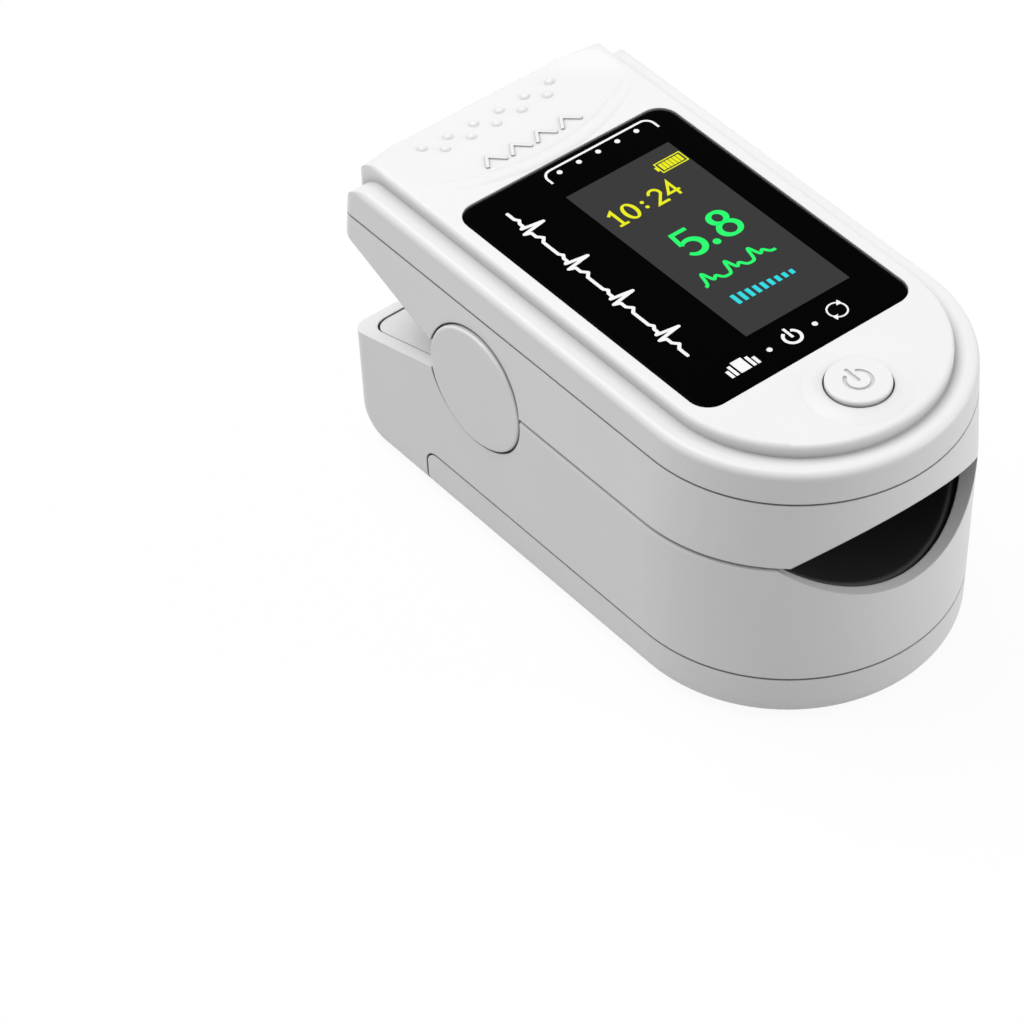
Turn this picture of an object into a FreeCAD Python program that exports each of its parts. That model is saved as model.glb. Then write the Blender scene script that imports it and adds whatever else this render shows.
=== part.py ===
import FreeCAD, Part
import math
import os
import re
import Sketcher

# Fingertip health monitor: a sprung clamshell that clips on a finger.
# Frame: +Z up, the finger goes in along +Y, the hinge runs along X, z = 0 is the bottom face.

# Driving sizes in millimetres and degrees: name, value, meaning
SIZES = [
    # Outline of the two jaws
    ("channel_depth", 5.33, "depth of the finger channel in the lower jaw"),
    ("cover_side", 3.5, "side of the top cover below the rim"),
    ("plateau_rise", 1.3, "raised top above the rim"),
    ("lower_draft", 0.55, "how far the lower jaw widens to the split"),
    ("upper_draft", 0.9, "how far the upper jaw narrows to the rim"),
    ("plateau_inset", 2.25, "raised top inside the rim"),
    ("front_centre", 15.05, "distance from the origin to the centre of the round rim"),
    ("nose_back", 0.75, "round front of the jaws behind that of the rim, at the split"),
    ("rear_step", 0.85, "rear wall of the upper jaw past that of the lower jaw"),
    ("rear_room", 3.3, "room between the battery bay and the rear wall"),
    ("bow_overhang", 1.7, "bowed rear edge of the raised top past the rear wall"),
    ("bow_radius", 90.0, "radius of that bowed edge"),
    ("tail_round", 3.0, "round over the top of that bowed edge"),
    ("tail_lip", 2.2, "underside of that edge below the rim"),
    ("upper_corner", 1.5, "plan corner radius at the rear of the upper jaw"),
    ("lower_corner", 2.0, "edge radius along the bottom and the rear corners"),
    ("heel_radius", 4.0, "round between the bottom and the rear wall"),
    ("rim_round", 0.75, "round on the outer edge of the rim"),
    ("rim_rear_round", 3.5, "round between the rim and the rear wall"),
    ("lip_round", 0.35, "round on the upper edge of the lower jaw"),
    ("plateau_round", 0.45, "round on the edge of the raised top"),
    ("plateau_corner", 1.2, "rear corners of the raised top"),
    ("wall", 1.5, "wall of the shells"),
    ("seam_gap", 0.2, "gap that shows as a seam line"),
    ("jaw_gap", 0.35, "gap between the closed jaws"),
    ("moving_gap", 0.3, "gap between pieces that move past each other"),
    ("seat_gap", 0.05, "gap round a piece in its seat"),
    ("tray_gap", 0.15, "gap round the lower tray"),
    ("lens_gap", 0.1, "gap round and under the display lens"),
    # Rear of the upper jaw
    ("slant_length", 15.85, "length of the rising underside of the upper jaw"),
    ("slant_angle", 18.3, "angle of that rise"),
    ("slant_round", 2.5, "round between the slant and the rear wall"),
    ("slant_floor", 1.3, "thickness of the slanted floor"),
    ("tail_wall", 2.25, "rear wall of the tail"),
    ("dish_radius", 95.0, "radius of the thumb dish"),
    ("dish_margin", 0.9, "thumb dish inside the sides of the raised top"),
    ("dish_bank", 2.5, "run of the sloped sides of the dish for each millimetre of depth"),
    ("dish_round", 10.0, "round between the dish and its sloped sides"),
    ("crease_radius", 22.7, "radius of the crease where the dish meets the top"),
    ("dish_length", 12.75, "length of the thumb dish"),
    ("bead_rise", 0.2, "height of the bead along the crease"),
    ("bead_width", 0.75, "half width of that bead"),
    ("bead_tilt", 2.6, "tilt that fades the bead out at its ends"),
    ("dot_radius", 0.55, "grip dots in the dish"),
    ("dot_sink", 0.25, "centre of a grip dot below the dish"),
    ("dot_pitch", 3.05, "spacing of the grip dots"),
    ("dot_margin", 2.95, "rear row of grip dots before the bowed edge"),
    ("dot_row_step", 1.55, "distance between the two rows of grip dots"),
    ("dot_rear_count", 6, "grip dots in the rear row"),
    ("dot_front_count", 5, "grip dots in the front row"),
    # Finger channel
    ("arch_radius", 16.6, "arch over the finger in the upper jaw"),
    ("arch_rise", 4.2, "top of that arch above the split"),
    ("scoop_radius", 16.6, "scoop under the finger in the lower jaw"),
    ("scoop_step", 0.03, "bottom of that scoop above the pad"),
    ("pad_radius", 16.55, "surface of the lower finger pad"),
    ("bed_sink", 0.08, "how far the finger trough dips between the cells"),
    ("pad_thickness", 1.0, "thickness of the finger pads"),
    ("pad_inset", 2.0, "how far the pads start behind the mouth"),
    ("finger_stop", 4.64, "where the finger channel ends"),
    ("stop_thickness", 1.2, "thickness of the finger stop"),
    ("stop_gap", 0.35, "top of the lower finger stop below the split"),
    ("tray_thickness", 1.2, "thickness of the lower tray"),
    ("deck_thickness", 1.2, "floor of the electronics space above the arch"),
    # Hinge
    ("hinge_room", 3.7, "hinge axis behind the finger stop"),
    ("hinge_drop", 0.97, "hinge axis below the split"),
    ("pin_radius", 1.0, "hinge pin"),
    ("running_gap", 0.03, "radial clearance of the pin in the upper jaw"),
    ("lug_radius", 2.5, "round lugs of the upper jaw on the hinge pin"),
    ("ear_radius", 3.2, "round hinge ears on the lower tray"),
    ("hinge_wall", 1.45, "wall of the upper jaw between the ears and the hinge caps"),
    ("ear_thickness", 2.4, "thickness of the hinge ears"),
    ("ear_room", 0.5, "extra room before the hinge ears"),
    ("disc_radius", 6.4, "round hinge caps on the sides"),
    ("cap_gap", 0.2, "gap around the hinge caps"),
    ("disc_proud", 0.0, "hinge caps proud of the sides at the split"),
    ("disc_thickness", 0.75, "thickness of the hinge caps"),
    ("disc_round", 0.25, "round on the edge of the hinge caps"),
    ("disc_gap", 0.15, "gap under the hinge caps"),
    ("pin_socket", 0.4, "how deep the pin goes into the hinge caps"),
    ("rim_drop", 0.7, "rear rim of the lower jaw below the split, at the hinge"),
    ("rim_line_angle", 16.7, "slope of the lower jaw's rear rim"),
    ("rear_rim", 1.45, "width of that rim"),
    ("plate_drop", 0.12, "rear plate of the tray below the rim"),
    # Jaw springs
    ("spring_radius", 1.65, "mean radius of the jaw springs"),
    ("spring_wire", 0.3, "wire radius of the jaw springs"),
    ("spring_pitch", 1.1, "spacing of the turns of the jaw springs"),
    ("spring_turns", 5.0, "whole turns in each jaw spring"),
    ("spring_inner", 3.0, "inner end of each jaw spring"),
    ("spring_leg", 4.2, "straight legs of the jaw springs"),
    ("spring_spread", 18.0, "rise of the upper spring leg"),
    ("spring_room", 0.15, "room above the upper spring leg"),
    ("leg_angle", 5.0, "slope of the lower spring leg and of the floor under it"),
    ("leg_gap", 0.38, "space between that leg and that floor"),
    # Batteries and their cover
    ("cover_height", 5.2, "height of the seam above the battery cover"),
    ("heel_length", 10.9, "lower shell behind the battery cover"),
    ("cover_corner", 1.8, "round at the upper rear corner of the battery cover"),
    ("cover_floor", 1.0, "floor of the battery cover"),
    ("cover_wall", 1.2, "side walls of the battery cover"),
    ("tongue_margin", 0.7, "tongues on the battery cover inside the walls"),
    ("tongue_width", 2.6, "width of those tongues"),
    ("tongue_thickness", 0.8, "thickness of those tongues"),
    ("tongue_reach", 2.4, "reach of those tongues past the end of the cover"),
    ("heel_floor", 1.0, "floor of the lower shell behind the battery cover"),
    ("grip_forward", 11.31, "front of the thumb grip past the centre of the round front"),
    ("grip_count", 5, "ribs in the thumb grip"),
    ("grip_pitch", 1.5, "spacing of the ribs in the thumb grip"),
    ("grip_half_width", 5.0, "half width of the thumb grip"),
    ("grip_depth", 0.35, "depth of the grooves in the thumb grip"),
    ("cell_radius", 5.25, "battery cells"),
    ("cell_length", 44.5, "length of a battery cell with its nub"),
    ("cell_space", 0.5, "space between the two cells"),
    ("cell_gap", 0.3, "clearance under the cells"),
    ("nub_radius", 1.9, "positive nub of a cell"),
    ("nub_length", 1.0, "length of that nub"),
    ("nose_gap", 0.51, "space between the front of a cell and the round wall"),
    ("bay_wall", 1.2, "walls across the battery bay"),
    ("bay_wall_rise", 4.75, "top of those walls above the axis of the cells"),
    ("contact_thickness", 0.4, "contact plates"),
    ("contact_half_width", 3.9, "half width of one contact plate"),
    ("contact_half_height", 3.5, "half height of the contact plates"),
    ("contact_gap", 0.15, "gap between a cell and its contacts"),
    ("coil_length", 2.6, "room for a battery spring"),
    ("coil_wire", 0.25, "wire radius of the battery springs"),
    ("coil_base_radius", 3.2, "battery spring radius at its plate"),
    ("coil_tip_radius", 1.6, "battery spring radius at the cell"),
    ("coil_turns", 2.0, "turns of a battery spring"),
    # Screws that hold the tray
    ("tab_rise", 1.4, "screw tabs above the seam of the battery cover"),
    ("tab_thickness", 1.2, "thickness of the screw tabs"),
    ("tab_half_width", 1.9, "half width of the screw tabs"),
    ("tab_gap", 0.35, "space between the screw tabs and the cells"),
    ("boss_clear", 0.2, "space between the screw bosses and the walls"),
    ("boss_back", 5.69, "front pair of screw bosses behind the centre of the round front"),
    ("boss_to_cover", 5.65, "rear pair of screw bosses before the end of the battery cover"),
    ("boss_radius", 1.7, "screw bosses"),
    ("screw_radius", 0.7, "screw shanks"),
    ("screw_head_radius", 1.4, "screw heads"),
    ("screw_head", 0.9, "height of the screw heads"),
    ("screw_length", 4.5, "length of the tray screws"),
    ("screw_play", 0.2, "clearance of the screws in the tabs and the board"),
    # Optical parts
    ("sensor_reach", 12.0, "light path before the finger stop"),
    ("window_radius", 2.8, "clear windows in the pads"),
    ("window_thickness", 1.3, "thickness of those windows"),
    ("diode_width", 2.8, "photodiode and emitter packages"),
    ("diode_height", 0.9, "height of the photodiode"),
    ("sensor_board_width", 4.2, "width of the sensor board"),
    ("sensor_board_length", 9.0, "length of the sensor board"),
    ("sensor_board_thickness", 0.6, "thickness of the sensor board"),
    # Electronics in the upper jaw
    ("board_clear", 1.2, "main board above the deck"),
    ("board_thickness", 0.8, "thickness of the main board"),
    ("board_gap", 0.95, "main board inside the walls"),
    ("board_to_rear", 4.9, "main board before the rear wall"),
    ("post_inset", 2.6, "board posts inside the edge of the board"),
    ("post_forward", 1.51, "front pair of board posts past the centre of the round front"),
    ("post_to_rear", 3.0, "rear pair of board posts before the end of the board"),
    ("post_radius", 1.7, "board posts"),
    ("board_screw_length", 3.2, "length of the board screws"),
    ("rim_roof", 1.8, "thickness of the top cover under the rim"),
    ("top_roof", 1.7, "thickness of the top cover under the raised top"),
    ("roof_side", 1.1, "side wall of the raised top"),
    ("lip_height", 1.0, "lip of the middle shell inside the top cover"),
    ("lip_thickness", 0.7, "thickness of that lip"),
    ("lens_margin", 1.5, "display lens inside the sides of the raised top"),
    ("lens_past", 2.1, "display lens past the centre of the round front"),
    ("lens_to_dish", 0.87, "display lens before the thumb dish"),
    ("lens_corner", 2.0, "corner radius of the display lens"),
    ("lens_round", 0.3, "round on the upper edge of the display lens"),
    ("lens_thickness", 1.05, "thickness of the display lens"),
    ("lens_drop", 0.05, "lens below the raised top"),
    ("lens_ledge", 1.1, "ledge that carries the lens"),
    ("panel_width", 14.8, "width of the display panel"),
    ("panel_side", 1.9, "display panel inside the right side of the lens"),
    ("panel_ahead", 3.59, "display panel inside the front of the lens"),
    ("panel_behind", 2.98, "display panel inside the rear of the lens"),
    ("panel_thickness", 1.5, "thickness of the display panel"),
    ("frame_margin", 0.6, "display frame past the panel"),
    ("frame_bar", 1.6, "bars of the display frame"),
    ("frame_height", 2.0, "height of the display frame"),
    ("button_forward", 8.06, "power button past the centre of the round front"),
    ("button_radius", 3.0, "power button cap"),
    ("button_gap", 0.14, "gap round the power button"),
    ("button_proud", 0.85, "power button above the raised top"),
    ("button_round", 0.22, "round on the button's edge"),
    ("flange_reach", 0.8, "flange that keeps the button in"),
    ("flange_thickness", 0.6, "thickness of that flange"),
    ("flange_gap", 0.15, "flange below the roof"),
    ("stem_radius", 1.2, "stem under the button"),
    ("button_travel", 0.4, "travel of the power button"),
    ("mound_reach", 1.95, "low mound round the button, past its cap"),
    ("mound_radius", 20.0, "radius of that mound"),
    ("switch_width", 4.2, "switch under the power button"),
    ("switch_height", 0.9, "height of that switch"),
    ("plunger_radius", 0.8, "plunger of the switch"),
    ("plunger_gap", 0.12, "gap round the plunger"),
    ("chip_height", 0.9, "height of the chips"),
    ("chip_gap", 0.4, "chips beside the display frame"),
    ("chip_front", 13.36, "front of the first chip"),
    ("chip_step", 2.2, "space between the chips"),
    ("chip_1_width", 7.0, "processor"),
    ("chip_2_width", 4.9, "amplifier"),
    ("chip_3_width", 3.5, "clock chip"),
    ("chip_4_width", 4.2, "supply chip"),
    ("chip_count", 4, "chips on the board"),
    ("buzzer_radius", 3.4, "sounder on the board"),
    ("buzzer_height", 1.2, "height of the sounder"),
    ("buzzer_to_rear", 3.8, "sounder before the end of the board"),
]

# Sizes that follow from the driving ones
DERIVED = {
    # Heights, from the bottom up
    "cell_axis": "cover_floor + cell_gap + cell_radius",
    "pad_height": "cell_axis + cell_radius - bed_sink + tray_thickness + seat_gap + pad_thickness",
    "split_height": "pad_height + channel_depth",
    "scoop_height": "pad_height + scoop_step",
    "stop_height": "split_height - stop_gap",
    "rim_line_height": "split_height - rim_drop",
    "hinge_height": "split_height - hinge_drop",
    "leg_floor": "hinge_height - (spring_radius + spring_wire + leg_gap) / cos(leg_angle)",
    "arch_height": "split_height + arch_rise",
    "deck_top": "arch_height + deck_thickness",
    "board_low": "deck_top + board_clear",
    "board_top": "board_low + board_thickness",
    "panel_low": "board_top + frame_height",
    "panel_top": "panel_low + panel_thickness",
    "lens_low": "panel_top + lens_gap",
    "lens_top": "lens_low + lens_thickness",
    "plateau_top": "lens_top + lens_drop",
    "rim_height": "plateau_top - plateau_rise",
    "seam_height": "rim_height - cover_side",
    "roof_low": "rim_height - rim_roof",
    "roof_high": "plateau_top - top_roof",
    "tab_low": "cover_height + tab_rise",
    "contact_low": "cell_axis - contact_half_height",
    "contact_top": "cell_axis + contact_half_height",
    "bay_wall_top": "cell_axis + bay_wall_rise",
    # Half widths, from the cells outwards
    "cell_pitch": "2 * cell_radius + cell_space",
    "cell_side": "cell_pitch / 2 + cell_radius",
    "boss_x": "cell_side + tab_gap + tab_half_width",
    "lower_inner": "boss_x + boss_radius + boss_clear",
    "bottom_half_width": "lower_inner + wall",
    "split_half_width": "bottom_half_width + lower_draft",
    "rim_half_width": "split_half_width - upper_draft",
    "upper_inner": "rim_half_width - wall",
    "plateau_half_width": "rim_half_width - plateau_inset",
    "roof_half_width": "plateau_half_width - roof_side",
    "lens_half_width": "plateau_half_width - lens_margin",
    "panel_right": "lens_half_width - panel_side",
    "panel_left": "panel_right - panel_width",
    "board_half_width": "upper_inner - board_gap",
    "post_x": "board_half_width - post_inset",
    "disc_outer": "split_half_width + disc_proud",
    "disc_floor": "disc_outer - disc_thickness",
    "ear_outer": "disc_floor - disc_gap - hinge_wall - moving_gap",
    "ear_inner": "ear_outer - ear_thickness",
    "tongue_inner": "lower_inner - tongue_margin - tongue_width",
    "button_flange": "button_radius + flange_reach",
    "mound_foot": "button_radius + mound_reach",
    # Lengths, from the round front to the rear
    "nose_centre": "front_centre - nose_back",
    "nose_reach": "sqrt(lower_inner * lower_inner - (cell_side + nose_gap) * (cell_side + nose_gap))",
    "bay_front": "front_centre + nose_reach + contact_gap + contact_thickness",
    "front_contact": "contact_thickness - bay_front",
    "left_cell_front": "front_contact + contact_gap",
    "right_cell_front": "front_contact + coil_length",
    "rear_contact": "right_cell_front + cell_length + contact_gap",
    "bay_rear": "rear_contact + contact_thickness",
    "lower_rear": "bay_rear + bay_wall + rear_room + wall",
    "upper_rear": "lower_rear + rear_step",
    "bow_rear": "upper_rear + bow_overhang",
    "slant_start": "upper_rear - slant_length",
    "cover_rear": "lower_rear - heel_length",
    "crease_front": "bow_rear - dish_length",
    "dot_rear_row": "bow_rear - dot_margin",
    "lens_front": "front_centre + lens_past",
    "lens_rear": "crease_front - lens_to_dish",
    "panel_front": "lens_front - panel_ahead",
    "panel_rear": "lens_rear - panel_behind",
    "button_y": "-front_centre - button_forward",
    "post_front": "front_centre + post_forward",
    "board_rear": "upper_rear - board_to_rear",
    "post_rear": "board_rear - post_to_rear",
    "buzzer_y": "board_rear - buzzer_to_rear",
    "boss_front": "front_centre - boss_back",
    "boss_rear": "cover_rear - boss_to_cover",
    "grip_front": "front_centre + grip_forward",
    "hinge_y": "finger_stop + stop_thickness + hinge_room",
    "plate_front": "hinge_y + disc_radius + cap_gap + wall / 2",
    "sensor_y": "finger_stop - sensor_reach",
}

SIZE_NAMES = {name for name, number, meaning in SIZES}
NAME_PATTERN = re.compile(r"[A-Za-z_][A-Za-z_0-9]*")

doc = FreeCAD.newDocument("fingertip_monitor")
sheet = doc.addObject("Spreadsheet::Sheet", "sizes")
for row, (name, number, meaning) in enumerate(SIZES, 1):
    sheet.set(f"A{row}", meaning)
    sheet.set(f"B{row}", str(number))
    sheet.setAlias(f"B{row}", name)
doc.recompute()


# Helpers that bind sizes


def sized(text):
    """Write a formula of size names as an expression on the sheet."""

    def on_sheet(found):
        word = found.group()
        if word in DERIVED:
            return "(" + sized(DERIVED[word]) + ")"
        return "sizes." + word if word in SIZE_NAMES else word

    return NAME_PATTERN.sub(on_sheet, str(text))


def value(text):
    """Number that a formula of size names gives."""
    return float(sheet.evalExpression(sized(text)))


def bind(thing, **formulas):
    """Bind properties of an object to formulas."""
    for prop, text in formulas.items():
        thing.setExpression(prop, sized(text))
    return thing


def place(thing, x="0", y="0", z="0", rotation=None):
    """Turn an object by a fixed rotation and bind where it stands."""
    turn = rotation or FreeCAD.Rotation()
    thing.Placement = FreeCAD.Placement(FreeCAD.Vector(), turn)
    for letter, text in zip("xyz", (x, y, z)):
        thing.setExpression("Placement.Base." + letter, sized(text))
    return thing


def mirrored(name, thing):
    """The same shape on the other side of the device."""
    other = doc.addObject("Part::Mirroring", name)
    other.Source = thing
    other.Base = FreeCAD.Vector()
    other.Normal = FreeCAD.Vector(1, 0, 0)
    return other


# Helpers that make solids

SAME_PLACE = 0.01
SHORT_EDGE = 0.5
ALONG = {
    "x": FreeCAD.Rotation(FreeCAD.Vector(0, 1, 0), 90),
    "y": FreeCAD.Rotation(FreeCAD.Vector(1, 0, 0), -90),
    "z": FreeCAD.Rotation(),
}


def box(name, x, y, z):
    """Block between a low and a high formula on each axis."""
    block = doc.addObject("Part::Box", name)
    sides = (("Length", x), ("Width", y), ("Height", z))
    bind(block, **{prop: f"({high}) - ({low})" for prop, (low, high) in sides})
    return place(block, x[0], y[0], z[0])


def cylinder(name, radius, axis, centre, span):
    """Round bar along an axis. The centre gives the other two coordinates, in order."""
    bar = doc.addObject("Part::Cylinder", name)
    bind(bar, Radius=radius, Height=f"({span[1]}) - ({span[0]})")
    spot = list(centre)
    spot.insert("xyz".index(axis), span[0])
    return place(bar, *spot, rotation=ALONG[axis])


def tilted(name, y, z, angle, reach, depth, sink="0"):
    """Wide block tilted about a line along X: reach runs along the slope, depth and sink across it."""
    block = doc.addObject("Part::Box", name)
    bind(block, Length="4 * split_half_width", Width=f"({reach[1]}) - ({reach[0]})", Height=depth)
    place(block, "-2 * split_half_width")
    block.setExpression("Placement.Rotation.Angle", sized(angle))
    block.setExpression("Placement.Rotation.Axis.x", "1")
    block.setExpression("Placement.Rotation.Axis.z", "0")
    along = f"({y}) + ({reach[0]}) * cos({angle}) + ({sink}) * sin({angle})"
    upward = f"({z}) + ({reach[0]}) * sin({angle}) - ({sink}) * cos({angle})"
    block.setExpression("Placement.Base.y", sized(along))
    block.setExpression("Placement.Base.z", sized(upward))
    return block


def fuse(name, *things):
    whole = doc.addObject("Part::MultiFuse", name)
    whole.Shapes = list(things)
    whole.Refine = True
    return whole


def common(name, *things):
    shared = doc.addObject("Part::MultiCommon", name)
    shared.Shapes = list(things)
    return shared


def cut(name, base, *tools):
    """Base with each tool taken away in turn."""
    for count, tool in enumerate(tools, 1):
        rest = doc.addObject("Part::Cut", name if count == len(tools) else f"{name}_cut_{count}")
        rest.Base = base
        rest.Tool = tool
        base = rest
    return base


def rounded(name, base, radius, chosen):
    """Round the edges that the test picks."""
    doc.recompute()
    size = value(radius)
    picked = [number for number, edge in enumerate(base.Shape.Edges, 1) if chosen(edge)]
    if not picked:
        raise RuntimeError(f"{name}: no edge to round")
    shape = doc.addObject("Part::Fillet", name)
    shape.Base = base
    shape.Edges = [(number, size, size) for number in picked]
    return shape


def near(first, second):
    return abs(first - second) < SAME_PLACE


def upright(edge):
    """Test for an edge that runs straight up."""
    limits = edge.BoundBox
    return limits.ZLength > SHORT_EDGE and limits.ZLength > limits.XLength + limits.YLength


def upright_behind(line):
    """Test for the upright edges behind a line across the device."""
    line_y = value(line)
    return lambda edge: upright(edge) and edge.BoundBox.YMin > line_y


def level_at(height):
    """Test for the edges that lie at one height."""
    level = value(height)
    return lambda edge: near(edge.BoundBox.ZMin, level) and near(edge.BoundBox.ZMax, level)


def d_block(name, low, high, low_plan, high_plan, rear):
    """Drafted block with straight sides and a round front: each plan is a half width and a front centre."""
    rings = []
    for end, level, (half, front) in (("low", low, low_plan), ("high", high, high_plan)):
        ring = doc.addObject("Part::Circle", f"{name}_{end}_ring")
        bind(ring, Radius=half)
        rings.append(place(ring, y=f"-({front})", z=level))
    nose = doc.addObject("Part::Loft", name + "_nose")
    nose.Sections = rings
    nose.Solid = True
    nose.Ruled = True
    low_half, low_front = low_plan
    high_half, high_front = high_plan
    sides = doc.addObject("Part::Wedge", name + "_sides")
    bind(sides, Xmin=f"-({low_half})", Xmax=low_half, X2min=f"-({high_half})", X2max=high_half)
    bind(sides, Ymin=low, Ymax=high)
    bind(sides, Zmin=f"-({rear})", Z2min=f"-({rear})", Zmax=low_front, Z2max=high_front)
    place(sides, rotation=FreeCAD.Rotation(FreeCAD.Vector(1, 0, 0), 90))
    return fuse(name, nose, sides)


def d_prism(name, low, high, half, rear, front="front_centre"):
    """Upright block with straight sides and a round front."""
    nose = cylinder(name + "_nose", half, "z", ("0", f"-({front})"), (low, high))
    sides = box(name + "_sides", (f"-({half})", half), (f"-({front})", rear), (low, high))
    return fuse(name, nose, sides)


def revolved(label, points, x="0", y="0", z="0", rotation=None):
    """Turned piece: a closed outline of (radius, height) formulas swept round its own Z axis."""
    body = doc.addObject("PartDesign::Body", label)
    plane = next(thing for thing in body.Origin.OriginFeatures if thing.Role == "XZ_Plane")
    sketch = body.newObject("Sketcher::SketchObject", label + "_outline")
    sketch.AttachmentSupport = [(plane, "")]
    sketch.MapMode = "FlatFace"
    corners = [FreeCAD.Vector(value(radius), value(height), 0) for radius, height in points]
    count = len(corners)
    for number in range(count):
        sketch.addGeometry(Part.LineSegment(corners[number], corners[(number + 1) % count]), False)
    for number in range(count):
        follower = (number + 1) % count
        sketch.addConstraint(Sketcher.Constraint("Coincident", number, 2, follower, 1))
    for number, (radius, height) in enumerate(points):
        if radius == "0":
            sketch.addConstraint(Sketcher.Constraint("PointOnObject", number, 1, -2))
        else:
            bind_distance(sketch, "DistanceX", number, corners[number].x, radius)
        if height == "0":
            sketch.addConstraint(Sketcher.Constraint("PointOnObject", number, 1, -1))
        else:
            bind_distance(sketch, "DistanceY", number, corners[number].y, height)
    turn = body.newObject("PartDesign::Revolution", label + "_turn")
    turn.Profile = sketch
    turn.ReferenceAxis = (sketch, ["V_Axis"])
    turn.Angle = 360
    place(body, x, y, z, rotation)
    return body


def bind_distance(sketch, kind, number, now, text):
    """Bind one coordinate of a sketch point to a formula."""
    index = sketch.addConstraint(Sketcher.Constraint(kind, -1, 1, number, 1, now))
    sketch.setExpression(f"Constraints[{index}]", sized(text))


def rounded_body(body, name, radius, chosen):
    """Round chosen edges of a turned piece."""
    doc.recompute()
    base = body.Tip
    edges = [f"Edge{number}" for number, edge in enumerate(base.Shape.Edges, 1) if chosen(edge)]
    soft = body.newObject("PartDesign::Fillet", name)
    soft.Base = (base, edges)
    soft.setExpression("Radius", sized(radius))
    return body


# Named places that several pieces share

ROOM_REAR = "(upper_rear - wall)"
ROOM_CORNER = "(upper_corner - wall / 2)"
LOWER_TOP = "(split_height - jaw_gap)"
PAD_AXIS = "(pad_height + pad_radius)"
TRAY_TOP_RADIUS = "(pad_radius + pad_thickness + seat_gap)"
TRAY_LOW_RADIUS = f"({TRAY_TOP_RADIUS} + tray_thickness)"
TRAY_INNER = "(lower_inner - tray_gap)"
TRAY_EDGE = f"({LOWER_TOP} - moving_gap)"
ARCH_AXIS = "(arch_height - arch_radius)"
ZONE_HALF = "(ear_outer + moving_gap)"
ZONE_REACH = "(ear_radius + ear_room + moving_gap)"
ZONE_REAR = "(hinge_y + ear_radius + 2 * wall)"
SPRING_TOP = "(hinge_height + spring_radius + spring_wire + spring_leg * sin(spring_spread))"
ZONE_TOP = f"({SPRING_TOP} + spring_room)"
HINGE = ("hinge_y", "hinge_height")
LUG_SPACE = (("ear_outer", "2 * disc_outer"), "2 * rim_height")
FAR = "(3 * upper_rear)"
TONGUE_LOW = "(heel_floor + seam_gap)"
TONGUE_TOP = f"({TONGUE_LOW} + tongue_thickness)"
DISH_Y = "(crease_front + crease_radius)"
DISH_Z = "(plateau_top + sqrt(dish_radius * dish_radius - crease_radius * crease_radius))"
FLANGE_TOP = "(roof_high - flange_gap)"
FLANGE_LOW = f"({FLANGE_TOP} - flange_thickness)"
SWITCH_TOP = "(board_top + switch_height)"
STEM_LOW = f"({SWITCH_TOP} + button_travel + seat_gap)"
RIM_LINE = ("hinge_y", "rim_line_height", "-rim_line_angle")
SLANT = ("slant_start", "split_height", "slant_angle")
ACROSS = ("-2 * split_half_width", "2 * split_half_width")
TALL = ("0", "2 * rim_height")


# Outer forms that the shells are cut from


def lower_form():
    """Outside of the lower jaw: drafted sides, round heel, round edges below and above."""
    plans = (("bottom_half_width", "nose_centre"), ("split_half_width", "nose_centre"))
    block = d_block("lower_block", "0", LOWER_TOP, *plans, "lower_rear")
    rear = value("lower_rear")

    def heel(edge):
        return near(edge.BoundBox.YMin, rear) and near(edge.BoundBox.ZMax, 0)

    heeled = rounded("lower_heel", block, "heel_radius", heel)
    bottomed = rounded("lower_bottom", heeled, "lower_corner", level_at("0"))
    return rounded("lower_form", bottomed, "lip_round", level_at(LOWER_TOP))


def upper_form():
    """Outside of the upper jaw below the raised top: drafted sides, slanted tail, round rim."""
    plans = (("split_half_width", "nose_centre"), ("rim_half_width", "front_centre"))
    block = d_block("upper_block", "split_height", "rim_height", *plans, "upper_rear")
    cornered = rounded("upper_corners", block, "upper_corner", upright_behind("upper_rear - wall"))
    rimmed = rounded("upper_rim", cornered, "rim_round", level_at("rim_height"))
    crown_y = "(upper_rear - rim_rear_round)"
    crown_z = "(rim_height - rim_rear_round)"
    edge = box("crown_corner", ACROSS, (crown_y, FAR), (crown_z, "2 * rim_height"))
    crown_bar = cylinder("crown_round", "rim_rear_round", "x", (crown_y, crown_z), ACROSS)
    below = tilted("below_slant", *SLANT, ("0", FAR), "rim_height", "rim_height")
    tail_y = "(upper_rear - slant_round)"
    slant_z = f"(split_height + ({tail_y} - slant_start) * tan(slant_angle))"
    tail_z = f"({slant_z} + slant_round / cos(slant_angle))"
    touch_y = f"({tail_y} + slant_round * sin(slant_angle))"
    corner = box("tail_corner", ACROSS, (touch_y, FAR), (f"{tail_z} - 2 * slant_round", tail_z))
    round_bar = cylinder("tail_bar", "slant_round", "x", (tail_y, tail_z), ACROSS)
    outside = (cut("crown_outside", edge, crown_bar), cut("tail_outside", corner, round_bar))
    return cut("upper_form", rimmed, below, *outside)


def hinge_recess(name):
    """Round recess on both sides for the hinge caps."""
    span = ("disc_floor - disc_gap", "2 * disc_outer")
    right = cylinder(name + "_right", "disc_radius + cap_gap", "x", HINGE, span)
    return fuse(name, right, mirrored(name + "_left", right))


def hinge_lugs(name, radius, half, span, top):
    """Round lugs about the hinge pin on both sides, each with a neck up to the side wall."""
    round_end = cylinder(name + "_round", radius, "x", HINGE, span)
    neck = box(name + "_neck", span, (f"hinge_y - {half}", f"hinge_y + {half}"), ("hinge_height", top))
    right = fuse(name + "_right", round_end, neck)
    return fuse(name, right, mirrored(name + "_left", right))


def above_rim_line(name):
    """Everything above the slope of the lower jaw's rear rim."""
    return tilted(name, *RIM_LINE, (f"-{FAR}", FAR), "rim_height")


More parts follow.
